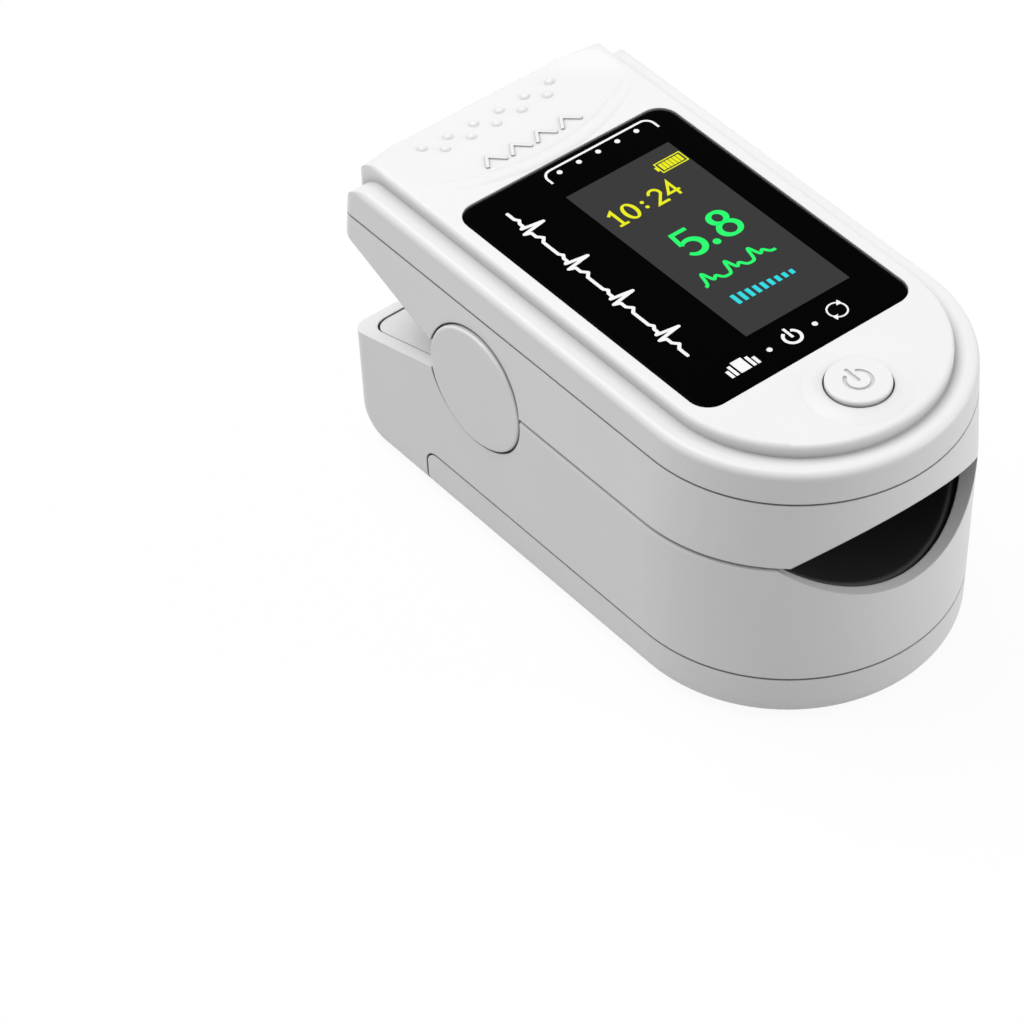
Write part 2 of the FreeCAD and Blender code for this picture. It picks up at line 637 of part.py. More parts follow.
def rear_plate(name, gap, depth):
    """Plate inside the lower jaw's rear rim, grown by a gap at its sides and below."""
    half = f"(split_half_width - rear_rim - tray_gap + {gap})"
    rear = f"(lower_rear - rear_rim - tray_gap + {gap})"
    plan = inner_room(name + "_plan", half, rear, "0", FAR, "lower_corner")
    y, z, angle = RIM_LINE
    low = f"{z} - plate_drop - (tray_thickness + {gap}) / cos(rim_line_angle)"
    slab = tilted(name + "_slab", y, low, angle, (f"-{FAR}", FAR), depth)
    behind = box(name + "_behind", ACROSS, (f"plate_front - {gap}", FAR), TALL)
    return common(name, plan, slab, behind)


def cover_zone(name, gap):
    """Space of the battery cover, drawn in by a gap at its seam."""
    rear = f"(cover_rear - ({gap}))"
    top = f"(cover_height - ({gap}))"
    turn = f"(cover_corner - ({gap}))"
    block = box(name + "_block", ACROSS, (f"-{FAR}", rear), ("-cover_height", top))
    corner = box(name + "_corner", ACROSS, (f"{rear} - {turn}", FAR), (f"{top} - {turn}", "rim_height"))
    bar = cylinder(name + "_round", turn, "x", (f"{rear} - {turn}", f"{top} - {turn}"), ACROSS)
    return cut(name, block, cut(name + "_outside", corner, bar))


def inner_room(name, half, rear, low, high, corner):
    """Upright room inside a shell with round rear corners."""
    room = d_prism(name + "_room", low, high, half, rear)
    return rounded(name, room, corner, upright_behind(f"({rear}) - wall"))


def four_spots(front, rear, x):
    """Two pairs of places, one pair to the front and one to the rear."""
    return [(side + x, along) for along in (f"-{front}", rear) for side in ("", "-")]


# Lower jaw


def lower_shell(form):
    """Lower casing: open below for the battery cover, open above for the tray."""
    inner_rear = "(lower_rear - wall)"
    hollow = inner_room("lower_hollow", "lower_inner", inner_rear, "heel_floor", FAR, "lower_corner")
    scoop_axis = "(scoop_height + scoop_radius)"
    scoop = cylinder("lower_scoop", "scoop_radius", "y", ("0", scoop_axis), (f"-{FAR}", "finger_stop"))
    shell = cut(
        "lower_walls",
        form,
        cover_zone("cover_space", "0"),
        hollow,
        scoop,
        above_rim_line("lower_relief"),
        rear_plate("rim_ledge", "tray_gap", "rim_height"),
        hinge_recess("lower_recess"),
        hinge_lugs("lug_space", "(lug_radius + moving_gap)", "(lug_radius + 2 * moving_gap)", *LUG_SPACE),
    )
    room = d_prism("bay_room", "0", "rim_height", "lower_inner + wall / 2", "lower_rear - wall / 2")
    height = ("cover_height", "bay_wall_top")
    front = box("bay_front_wall", ACROSS, ("-bay_front - bay_wall", "-bay_front"), height)
    rear = box("bay_rear_wall", ACROSS, ("bay_rear", "bay_rear + bay_wall"), height)
    tabs = []
    for number, (x, y) in enumerate(four_spots("boss_front", "boss_rear", "boss_x"), 1):
        tab = box(
            f"screw_tab_{number}",
            (f"min({x} - tab_half_width; {x} * 2)", f"max({x} + tab_half_width; {x} * 2)"),
            (f"{y} - tab_half_width", f"{y} + tab_half_width"),
            ("tab_low", "tab_low + tab_thickness"),
        )
        hole = cylinder(f"tab_hole_{number}", "screw_radius + screw_play", "z", (x, y), ("0", "rim_height"))
        tabs.append(cut(f"drilled_tab_{number}", tab, hole))
    inside = common("lower_inside", room, fuse("bay_walls_and_tabs", front, rear, *tabs))
    return fuse("lower_shell", shell, inside)


def trough(name, inner, outer, front_half, rear, edge):
    """Curved plate under the finger, between two radii about one line along Y."""
    span = (f"-{FAR}", rear)
    thick = cylinder(name + "_outer", outer, "y", ("0", PAD_AXIS), span)
    hollow = cylinder(name + "_inner", inner, "y", ("0", PAD_AXIS), span)
    plan = d_prism(name + "_plan", "0", edge, front_half, rear)
    return common(name, cut(name + "_wall", thick, hollow), plan)


def lower_tray():
    """Inner cover of the lower jaw: finger trough, stop, spring floor, rear plate, ears, bosses."""
    stop_rear = "(finger_stop + stop_thickness)"
    bed = trough("tray_bed", TRAY_TOP_RADIUS, TRAY_LOW_RADIUS, TRAY_INNER, stop_rear, TRAY_EDGE)
    low = "(cell_axis + cell_radius + cell_gap)"
    flange_low = f"({TRAY_EDGE} - tray_thickness)"
    flange = d_prism("tray_flange", flange_low, TRAY_EDGE, TRAY_INNER, stop_rear)
    hollow = cylinder("tray_hollow", TRAY_TOP_RADIUS, "y", ("0", PAD_AXIS), (f"-{FAR}", "finger_stop"))
    side = (f"-{TRAY_INNER}", TRAY_INNER)
    between = ("-ear_outer", "ear_outer")
    stop = box("tray_stop", side, ("finger_stop", stop_rear), (low, "stop_height"))
    plate = rear_plate("tray_plate", "0", "tray_thickness")
    floor_low = "(leg_floor - tray_thickness / cos(leg_angle))"
    slab = tilted("leg_slab", "hinge_y", floor_low, "-leg_angle", (f"-{FAR}", FAR), "tray_thickness")
    floor_plan = box("leg_plan", between, ("finger_stop", "plate_front + tray_thickness"), TALL)
    floor = common("leg_plate", slab, floor_plan)
    span = ("ear_inner", "ear_outer")
    ear_round = cylinder("ear_round", "ear_radius", "x", HINGE, span)
    ear_low = "(leg_floor - tray_thickness)"
    reach = ("hinge_y - ear_radius", "hinge_y + ear_radius")
    ear_foot = box("ear_foot", span, reach, (ear_low, "hinge_height"))
    ear = fuse("ear_right", ear_round, ear_foot)
    boss_rear_top = f"({floor_low} - (boss_rear - hinge_y) * tan(leg_angle))"
    bosses = []
    holes = []
    for number, (x, y) in enumerate(four_spots("boss_front", "boss_rear", "boss_x"), 1):
        top = TRAY_EDGE if y.startswith("-") else boss_rear_top
        span = ("tab_low + tab_thickness + seat_gap", top)
        bosses.append(cylinder(f"tray_boss_{number}", "boss_radius", "z", (x, y), span))
        depth = "tab_low + screw_length + seat_gap"
        holes.append(cylinder(f"boss_hole_{number}", "screw_radius", "z", (x, y), ("0", depth)))
    front = cut("tray_front", fuse("tray_front_solid", flange, *bosses), hollow)
    whole = fuse("tray_solid", bed, front, stop, floor, plate, ear, mirrored("ear_left", ear))
    pin_hole = cylinder("ear_bore", "pin_radius", "x", HINGE, ("-disc_outer", "disc_outer"))
    eye = cylinder("tray_eye", "window_radius + seat_gap", "z", ("0", "sensor_y"), ("0", "rim_height"))
    return cut("lower_tray", whole, pin_hole, eye, *holes)


def lower_finger_pad():
    """Soft lining of the lower jaw with a hole over the light sensor."""
    half = "(lower_inner - seat_gap)"
    front_cut = "(split_half_width - pad_inset)"
    outer = "(pad_radius + pad_thickness)"
    rear = "(finger_stop - seat_gap)"
    bed = trough("pad_bed", "pad_radius", outer, f"min({half}; {front_cut})", rear, TRAY_EDGE)
    round_end = cylinder("pad_end_round", outer, "y", ("0", PAD_AXIS), (f"-{FAR}", FAR))
    reach = (f"{rear} - pad_thickness", rear)
    end = box("pad_end", ("-ear_inner", "ear_inner"), reach, ("0", "stop_height"))
    lined = fuse("pad_solid", bed, common("pad_end_wall", end, round_end))
    eye = cylinder("pad_eye", "window_radius + seat_gap", "z", ("0", "sensor_y"), ("0", "rim_height"))
    return cut("lower_finger_pad", lined, eye)


def light_sensor():
    """Clear window, photodiode and its small board under the finger."""
    window_low = "(pad_height - window_thickness)"
    window = cylinder("sensor_window", "window_radius", "z", ("0", "sensor_y"), (window_low, "pad_height"))
    diode_top = f"({window_low} - seat_gap)"
    diode_low = f"({diode_top} - diode_height)"
    half = "diode_width / 2"
    along = (f"sensor_y - {half}", f"sensor_y + {half}")
    diode = box("photodiode", (f"-{half}", half), along, (diode_low, diode_top))
    width = "sensor_board_width / 2"
    length = "sensor_board_length / 2"
    board = box(
        "sensor_board",
        (f"-{width}", width),
        (f"sensor_y - {length}", f"sensor_y + {length}"),
        (f"{diode_low} - sensor_board_thickness", diode_low),
    )
    return [window, diode, board]


def battery_cell(label, x, front, nub_first):
    """Cylindrical cell with its nub to the front or to the rear."""
    length = "(cell_length - nub_length)"
    points = [
        ("0", "0"),
        ("cell_radius", "0"),
        ("cell_radius", length),
        ("nub_radius", length),
        ("nub_radius", "cell_length"),
        ("0", "cell_length"),
    ]
    turn = FreeCAD.Rotation(FreeCAD.Vector(1, 0, 0), 90 if nub_first else -90)
    y = f"{front} + cell_length" if nub_first else front
    return revolved(label, points, x, y, "cell_axis", turn)


def contact_plates():
    """Bridge plate across the front of the bay and two separate plates at its rear."""
    height = ("contact_low", "contact_top")
    reach = "(cell_pitch / 2 + contact_half_width)"
    front = ("-bay_front", "front_contact")
    bridge = box("front_contact_bridge", (f"-{reach}", reach), front, height)
    rear = ("rear_contact", "bay_rear")
    side = ("cell_pitch / 2 - contact_half_width", "cell_pitch / 2 + contact_half_width")
    right = box("rear_contact_right", side, rear, height)
    pair = doc.addObject("Part::Compound", "rear_contact_plates")
    pair.Links = [right, mirrored("rear_contact_left", right)]
    return [bridge, pair]


MARKS_PER_TURN = 4
SPOTS_PER_TURN = 24


def biarc(start, start_way, end, end_way):
    """Two arcs that meet smoothly between two points with given directions."""
    chord = end - start
    ways = start_way + end_way
    bend = 2 * (1 - start_way.dot(end_way))
    along = chord.dot(ways)
    reach = (math.sqrt(along * along + bend * chord.dot(chord)) - along) / bend
    first_knee = start + start_way * reach
    last_knee = end - end_way * reach
    middle = (first_knee + last_knee) * 0.5
    arcs = []
    for a, knee, b in ((start, first_knee, middle), (middle, last_knee, end)):
        foot = (a + b) * 0.5
        cosine = (b - a).Length / (2 * (knee - a).Length)
        arcs.append(Part.Arc(a, foot + (knee - foot) * (cosine / (1 + cosine)), b))
    return [arc.toShape() for arc in arcs]


def helix_point(turn, coil):
    """Place and direction after some turns of a coil about Z: (radius, growth per turn, rise per turn)."""
    first_radius, growth, rise = coil
    angle = 2 * math.pi * turn
    radius = first_radius + growth * turn
    spread = growth / (2 * math.pi)
    spot = FreeCAD.Vector(radius * math.cos(angle), radius * math.sin(angle), rise * turn)
    way = FreeCAD.Vector(
        spread * math.cos(angle) - radius * math.sin(angle),
        spread * math.sin(angle) + radius * math.cos(angle),
        rise / (2 * math.pi),
    )
    return spot, way.normalize()


def coil_tube(label, turns, coil, wire, leg):
    """Wire wound about Z with a straight leg at each end. Prints the least gap between its turns."""
    first_turn, last_turn = turns
    count = math.ceil((last_turn - first_turn) * MARKS_PER_TURN)
    step = (last_turn - first_turn) / count
    marks = [helix_point(first_turn + number * step, coil) for number in range(count + 1)]
    edges = []
    for (a, a_way), (b, b_way) in zip(marks, marks[1:]):
        edges.extend(biarc(a, a_way, b, b_way))
    if leg:
        begin, begin_way = marks[0]
        end, end_way = marks[-1]
        edges.insert(0, Part.LineSegment(begin - begin_way * leg, begin).toShape())
        edges.append(Part.LineSegment(end, end + end_way * leg).toShape())
    path = Part.Wire(edges)
    first = edges[0]
    begin = first.valueAt(first.FirstParameter)
    ring = Part.Wire(Part.Circle(begin, first.tangentAt(first.FirstParameter), wire).toShape())
    tube = path.makePipeShell([ring], True, False)
    gap = least_gap(turns, coil) - 2 * wire
    print(f"{label}: least gap between turns {gap:.2f} mm, wire length {path.Length:.1f} mm")
    return tube


def least_gap(turns, coil):
    """Least distance between points of the centre line at least half a turn apart."""
    first_turn, last_turn = turns
    count = int((last_turn - first_turn) * SPOTS_PER_TURN) + 1
    spots = [helix_point(first_turn + number / SPOTS_PER_TURN, coil)[0] for number in range(count)]
    apart = SPOTS_PER_TURN // 2
    return min((spots[a] - spots[b]).Length for a in range(count) for b in range(a + apart, count))


def wound(label, shape, spot, rotation):
    """Put a wound shape into the document."""
    spring = doc.addObject("Part::Feature", label)
    spring.Shape = shape
    spring.Placement = FreeCAD.Placement(spot, rotation)
    return spring


def battery_spring(label, x, y, to_rear):
    """Conical spring that presses on the flat end of a cell."""
    turns = value("coil_turns")
    base = value("coil_base_radius")
    tip = value("coil_tip_radius")
    wire = value("coil_wire")
    room = value("coil_length - contact_gap") - 2 * wire - 2 * value("seat_gap")
    shape = coil_tube(label, (0, turns), (base, (tip - base) / turns, room / turns), wire, 0)
    way = 1 if to_rear else -1
    spot = FreeCAD.Vector(value(x), value(y) + way * (wire + value("seat_gap")), value("cell_axis"))
    return wound(label, shape, spot, FreeCAD.Rotation(FreeCAD.Vector(1, 0, 0), -90 * way))


def jaw_spring(label, side):
    """Torsion spring on the hinge pin: one leg up under the upper jaw, one along the tray."""
    radius = value("spring_radius")
    pitch = value("spring_pitch")
    first_turn = value("spring_spread") / 360
    last_turn = value("spring_turns") + (180 - value("leg_angle")) / 360
    wire = value("spring_wire")
    shape = coil_tube(label, (first_turn, last_turn), (radius, 0, pitch), wire, value("spring_leg"))
    start = value("spring_inner") if side > 0 else -value("spring_inner") - pitch * last_turn
    spot = FreeCAD.Vector(start, value("hinge_y"), value("hinge_height"))
    up, front, right = FreeCAD.Vector(0, 0, 1), FreeCAD.Vector(0, -1, 0), FreeCAD.Vector(1, 0, 0)
    return wound(label, shape, spot, FreeCAD.Rotation(up, front, right, "ZXY"))


def hinge_pin():
    end = "(disc_outer - disc_thickness + pin_socket)"
    return cylinder("hinge_pin", "pin_radius", "x", HINGE, (f"-{end}", end))


def hinge_caps():
    """Round caps pressed on the ends of the hinge pin."""
    disc = cylinder("cap_disc", "disc_radius", "x", HINGE, ("disc_floor", "disc_outer"))
    outer = value("disc_outer")
    soft = rounded("cap_soft", disc, "disc_round", lambda edge: near(edge.BoundBox.XMin, outer))
    socket_end = "(disc_floor + pin_socket)"
    socket = cylinder("cap_socket", "pin_radius", "x", HINGE, ("0", socket_end))
    right = cut("hinge_cap_right", soft, socket)
    return [right, mirrored("hinge_cap_left", right)]


def screw_group(label, spots, head_low, length, head_down):
    """Identical screws at several places, as separate solids."""
    screws = []
    for number, (x, y) in enumerate(spots, 1):
        points = [
            ("0", "0"),
            ("screw_head_radius", "0"),
            ("screw_head_radius", "screw_head"),
            ("screw_radius", "screw_head"),
            ("screw_radius", f"screw_head + {length}"),
            ("0", f"screw_head + {length}"),
        ]
        turn = FreeCAD.Rotation() if head_down else FreeCAD.Rotation(FreeCAD.Vector(1, 0, 0), 180)
        screws.append(revolved(f"{label}_{number}", points, x, y, head_low, turn))
    group = doc.addObject("Part::Compound", label)
    group.Links = screws
    return group


# Battery cover


def battery_cover(form):
    """Sliding cover under the batteries with two tongues and a ribbed thumb grip."""
    half = "(bottom_half_width - cover_wall)"
    room = d_prism("cover_room", "cover_floor", "rim_height", half, "2 * cover_rear", "nose_centre")
    shell = cut("cover_walls", common("cover_outside", form, cover_zone("cover_body", "seam_gap")), room)
    side = ("tongue_inner", "tongue_inner + tongue_width")
    tongue_front = "cover_rear - tongue_reach"
    blade = box("tongue_blade", side, (tongue_front, "cover_rear + tongue_reach"), (TONGUE_LOW, TONGUE_TOP))
    foot_reach = (tongue_front, "cover_rear - seam_gap")
    foot = box("tongue_foot", side, foot_reach, ("cover_floor / 2", TONGUE_LOW))
    tongue = fuse("tongue_right", blade, foot)
    whole = fuse("cover_solid", shell, tongue, mirrored("tongue_left", tongue))
    grooves = []
    for number in range(int(value("grip_count"))):
        y = f"(-grip_front + {number} * grip_pitch)"
        groove = box(
            f"grip_groove_{number + 1}",
            ("-grip_half_width", "grip_half_width"),
            (y, f"{y} + grip_pitch / 2"),
            ("-grip_depth", "grip_depth"),
        )
        grooves.append(groove)
    return cut("battery_cover", whole, *grooves)


# Upper jaw


def mid_shell(form):
    """Middle casing: side walls, arch over the finger, deck under the board and hinge bores."""
    above = box("mid_above", ACROSS, (f"-{FAR}", FAR), ("seam_height", "2 * rim_height"))
    arch = cylinder("mid_arch", "arch_radius", "y", ("0", ARCH_AXIS), (f"-{FAR}", "hinge_y"))
    zone_y = (f"hinge_y - {ZONE_REACH}", ZONE_REAR)
    zone = box("hinge_zone", (f"-{ZONE_HALF}", ZONE_HALF), zone_y, ("0", ZONE_TOP))
    room = inner_room("mid_room", "upper_inner", ROOM_REAR, "deck_top", FAR, ROOM_CORNER)
    tail = box(
        "tail_room",
        ("-upper_inner", "upper_inner"),
        (f"{ZONE_REAR} + wall", "upper_rear - tail_wall"),
        ("split_height", "deck_top + wall"),
    )
    y, z, angle = SLANT
    floor_z = f"{z} + slant_floor / cos(slant_angle)"
    floor = tilted("tail_floor", y, floor_z, angle, (f"-{FAR}", FAR), "rim_height")
    tail_hollow = common("tail_hollow", tail, floor)
    bore = cylinder("mid_bore", "pin_radius + running_gap", "x", HINGE, ACROSS)
    eye = cylinder("mid_eye", "window_radius + seat_gap", "z", ("0", "sensor_y"), ("0", "rim_height"))
    recess = hinge_recess("mid_recess")
    walls = cut("mid_walls", form, above, arch, zone, room, tail_hollow, eye, recess)
    lug_span = (ZONE_HALF, "disc_floor - disc_gap")
    lugs = hinge_lugs("mid_lugs", "lug_radius", "lug_radius", lug_span, "split_height + wall")
    lip_half = "(upper_inner - seat_gap)"
    lip_rear = f"({ROOM_REAR} - seat_gap)"
    lip_span = ("deck_top - wall / 2", "seam_height + lip_height")
    lip_outer = inner_room("lip_outer", "upper_inner", ROOM_REAR, *lip_span, ROOM_CORNER)
    lip_hollow = inner_room(
        "lip_hollow",
        f"{lip_half} - lip_thickness",
        f"{lip_rear} - lip_thickness",
        "0",
        FAR,
        f"{ROOM_CORNER} - seat_gap",
    )
    lip = cut("mid_lip", lip_outer, lip_hollow)
    tail_foot = "(split_height + (post_rear - slant_start) * tan(slant_angle) + slant_floor)"
    posts = []
    holes = []
    for number, (x, y) in enumerate(four_spots("post_front", "post_rear", "post_x"), 1):
        foot = "deck_top - deck_thickness / 2" if y.startswith("-") else tail_foot
        posts.append(cylinder(f"board_post_{number}", "post_radius", "z", (x, y), (foot, "board_low")))
        depth = "(board_top - board_screw_length)"
        holes.append(cylinder(f"post_hole_{number}", "screw_radius", "z", (x, y), (depth, "rim_height")))
    return cut("mid_shell", fuse("mid_solid", walls, lip, lugs, *posts), bore, *holes)


def raised_top(low):
    """Raised top: round front, and a bowed rear edge that overhangs the rear wall and is rounded over."""
    plan = d_prism("plateau_plan", low, "plateau_top", "plateau_half_width", "2 * bow_rear")
    bow_at = ("0", "bow_rear - bow_radius")
    bow = cylinder("plateau_bow", "bow_radius", "z", bow_at, TALL)
    ledge = box("tail_ledge", ACROSS, (f"-{FAR}", "upper_rear - upper_corner"), TALL)
    behind = box("lip_ledge", ACROSS, (f"-{FAR}", FAR), ("rim_height - tail_lip", "2 * rim_height"))
    plateau = common("plateau_block", plan, bow, fuse("plateau_keep", ledge, behind))
    cornered = rounded("plateau_corners", plateau, "plateau_corner", upright_behind("crease_front"))
    softened = rounded("plateau_soft", cornered, "plateau_round", level_at("plateau_top"))
    disc = cylinder("tail_disc", "bow_radius", "z", bow_at, ("0", "plateau_top"))
    crown = rounded("tail_crown", disc, "tail_round", level_at("plateau_top"))
    return common("raised_top", softened, crown)


def thumb_dish():
    """Round hollow for the thumb between sloped banks."""
    ball = doc.addObject("Part::Sphere", "thumb_ball")
    bind(ball, Radius="dish_radius")
    place(ball, "0", DISH_Y, DISH_Z)
    half = "plateau_half_width - dish_margin"
    reach = "3 * plateau_rise"
    low_half, high_half = f"({half} - {reach} * dish_bank)", f"({half} + {reach} * dish_bank)"
    banks = doc.addObject("Part::Wedge", "thumb_banks")
    bind(banks, Xmin=f"-{low_half}", Xmax=low_half, X2min=f"-{high_half}", X2max=high_half)
    bind(banks, Ymin=f"plateau_top - {reach}", Ymax=f"plateau_top + {reach}")
    bind(banks, Zmin=f"-{FAR}", Z2min=f"-{FAR}", Zmax="0", Z2max="0")
    place(banks, rotation=FreeCAD.Rotation(FreeCAD.Vector(1, 0, 0), 90))
    hollow = common("thumb_hollow", ball, banks)
    top, side = value("plateau_top"), value("dish_margin")

    def foot(edge):
        limits = edge.BoundBox
        return limits.ZMin < top and (limits.XMin > side or limits.XMax < -side)

    return rounded("thumb_dish", hollow, "dish_round", foot)


def crease_bead():
    """Low bead along the front of the dish, sunk towards its ends."""
    drop = "((bead_width * bead_width - bead_rise * bead_rise) / (2 * bead_rise))"
    ring = doc.addObject("Part::Torus", "crease_ring")
    bind(ring, Radius1="crease_radius", Radius2=f"{drop} + bead_rise")
    place(ring, "0", DISH_Y, f"plateau_top - {drop} - crease_radius * sin(bead_tilt)")
    ring.setExpression("Placement.Rotation.Angle", sized("-bead_tilt"))
    ring.setExpression("Placement.Rotation.Axis.x", "1")
    ring.setExpression("Placement.Rotation.Axis.z", "0")
    half = "(plateau_half_width - plateau_round)"
    along = ("crease_front - bead_width", DISH_Y)
    zone = box("crease_zone", (f"-{half}", half), along, ("plateau_top - plateau_rise / 2", "2 * rim_height"))
    return common("crease_bead", ring, zone)


def button_mound():
    """Low round mound that the power button stands in."""
    ball = doc.addObject("Part::Sphere", "mound_ball")
    bind(ball, Radius="mound_radius")
    sink = "sqrt(mound_radius * mound_radius - mound_foot * mound_foot)"
    place(ball, "0", "button_y", f"plateau_top - {sink}")
    height = ("plateau_top - plateau_rise / 2", "2 * rim_height")
    return common("button_mound", ball, cylinder("mound_zone", "mound_foot", "z", ("0", "button_y"), height))


def top_cover(form):
    """Top casing: rim, raised top with its thumb dish and dots, lens seat and button hole."""
    low = "(seam_height + seam_gap)"
    below = box("top_below", ACROSS, (f"-{FAR}", FAR), ("0", low))
    outside = fuse("top_outside", cut("rim_part", form, below), raised_top(low))
    dished = cut("top_dished", outside, thumb_dish())
    dots = [grip_dot(number, x, y) for number, (x, y) in enumerate(dot_spots(), 1)]
    solid = fuse("top_solid", dished, *dots, crease_bead(), button_mound())
    room_half = "(upper_inner + seat_gap)"
    room_rear = f"({ROOM_REAR} + seat_gap)"
    room = inner_room("top_room", room_half, room_rear, "0", "roof_low", ROOM_CORNER)
    high_room = d_prism("roof_room", "0", "roof_high", "roof_half_width", "crease_front")
    seat = lens_plate("lens_seat", "lens_gap", "lens_low", "2 * rim_height")
    opening = box(
        "lens_opening",
        ("-lens_half_width + lens_ledge", "lens_half_width - lens_ledge"),
        ("-lens_front + lens_ledge", "lens_rear - lens_ledge"),
        TALL,
    )
    hole = cylinder("button_hole", "button_radius + button_gap", "z", ("0", "button_y"), TALL)
    return cut("top_cover", solid, room, high_room, seat, opening, hole)


def dot_spots():
    """Two staggered rows of grip dots."""
    rows = [("dot_rear_count", "dot_rear_row"), ("dot_front_count", "dot_rear_row - dot_row_step")]
    spots = []
    for count, along in rows:
        for number in range(int(value(count))):
            spots.append((f"({number} - ({count} - 1) / 2) * dot_pitch", along))
    return spots


def grip_dot(number, x, y):
    """Low round dot that stands out of the dish."""
    dot = doc.addObject("Part::Sphere", f"grip_dot_{number}")
    bind(dot, Radius="dot_radius")
    away = f"(({x}) * ({x}) + (({y}) - {DISH_Y}) * (({y}) - {DISH_Y}))"
    return place(dot, x, y, f"{DISH_Z} - sqrt(dish_radius * dish_radius - {away}) - dot_sink")


def lens_plate(name, grow, low, high):
    """Plate with the lens outline, grown by a clearance."""
    block = box(
        name + "_block",
        (f"-lens_half_width - {grow}", f"lens_half_width + {grow}"),
        (f"-lens_front - {grow}", f"lens_rear + {grow}"),
        (low, high),
    )
    return rounded(name, block, f"lens_corner + {grow}", upright)


def display_lens():
    """Flat lens with a softly rounded upper edge."""
    plate = lens_plate("lens_blank", "0", "lens_low", "lens_top")
    return rounded("display_lens", plate, "lens_round", level_at("lens_top"))


def display_parts():
    """Panel under the lens and the frame that holds it on the board."""
    along = ("-panel_front", "panel_rear")
    panel = box("display_module", ("panel_left", "panel_right"), along, ("panel_low", "panel_top"))
    frame = box(
        "frame_block",
        ("panel_left - frame_margin", "panel_right + frame_margin"),
        ("-panel_front - frame_margin", "panel_rear + frame_margin"),
        ("board_top", "panel_low"),
    )
    inside = box(
        "frame_inside",
        ("panel_left + frame_bar", "panel_right - frame_bar"),
        ("-panel_front + frame_bar", "panel_rear - frame_bar"),
        TALL,
    )
    return [panel, cut("display_frame", frame, inside)]


def main_board():
    """Circuit board with clearance holes over its posts."""
    block = d_prism("board_block", "board_low", "board_top", "board_half_width", "board_rear")
    holes = []
    for number, (x, y) in enumerate(four_spots("post_front", "post_rear", "post_x"), 1):
        hole = cylinder(f"board_hole_{number}", "screw_radius + screw_play", "z", (x, y), TALL)
        holes.append(hole)
    return cut("main_board", block, *holes)


def board_chips():
    """Chips beside the display frame, each its own solid."""
    chips = doc.addObject("Part::Compound", "board_chips")
    links = []
    front = "-chip_front"
    edge = "(panel_left - frame_margin - chip_gap)"
    for number in range(1, int(value("chip_count")) + 1):
        width = f"chip_{number}_width"
        side = (f"{edge} - {width}", edge)
        along = (front, f"{front} + {width}")
        front = f"({front} + {width} + chip_step)"
        links.append(box(f"chip_{number}", side, along, ("board_top", "board_top + chip_height")))
    chips.Links = links
    return chips


def power_switch():
    """Switch on the board, its plunger and the button that presses it."""
    half = "switch_width / 2"
    along = (f"button_y - {half}", f"button_y + {half}")
    block = box("switch_block", (f"-{half}", half), along, ("board_top", SWITCH_TOP))
    spot = ("0", "button_y")
    deep = f"({SWITCH_TOP} - button_travel - seat_gap - switch_height / 4)"
    well = cylinder("switch_well", "plunger_radius + plunger_gap", "z", spot, (deep, "2 * rim_height"))
    switch = cut("tact_switch", block, well)
    plunger_low = f"({deep} + button_travel + seat_gap)"
    plunger = cylinder("switch_plunger", "plunger_radius", "z", spot, (plunger_low, STEM_LOW))
    points = [
        ("0", STEM_LOW),
        ("stem_radius", STEM_LOW),
        ("stem_radius", FLANGE_LOW),
        ("button_flange", FLANGE_LOW),
        ("button_flange", FLANGE_TOP),
        ("button_radius", FLANGE_TOP),
        ("button_radius", "plateau_top + button_proud"),
        ("0", "plateau_top + button_proud"),
    ]
    button = revolved("power_button", points, y="button_y")
    rounded_body(button, "button_edge", "button_round", level_at("plateau_top + button_proud"))
    return [switch, plunger, button]


def buzzer():
    span = ("board_top", "board_top + buzzer_height")
    return cylinder("buzzer", "buzzer_radius", "z", ("0", "buzzer_y"), span)


def upper_finger_pad():
    """Soft lining under the arch with a hole under the light source."""
    outer = "(arch_radius - seat_gap)"
    inner = f"({outer} - pad_thickness)"
    rear = "(finger_stop - seat_gap)"
    thick = cylinder("upper_pad_outer", outer, "y", ("0", ARCH_AXIS), (f"-{FAR}", rear))
    open_span = (f"-{FAR}", f"{rear} - pad_thickness")
    hollow = cylinder("upper_pad_inner", inner, "y", ("0", ARCH_AXIS), open_span)
    plan = d_prism("upper_pad_plan", "split_height", "rim_height", "split_half_width - pad_inset", rear)
    bed = common("upper_pad_bed", cut("upper_pad_wall", thick, hollow), plan)
    eye = cylinder("upper_pad_eye", "window_radius + seat_gap", "z", ("0", "sensor_y"), ("0", "rim_height"))
    return cut("upper_finger_pad", bed, eye)


def light_source():
    """Clear window and the emitter under the board."""
    low = "(arch_height - seat_gap - pad_thickness)"
    top = f"({low} + window_thickness)"
    window = cylinder("emitter_window", "window_radius", "z", ("0", "sensor_y"), (low, top))
    half = "diode_width / 2"
    along = (f"sensor_y - {half}", f"sensor_y + {half}")
    emitter = box("led_emitter", (f"-{half}", half), along, (f"{top} + seat_gap", "board_low"))
    return [window, emitter]


# Assembly

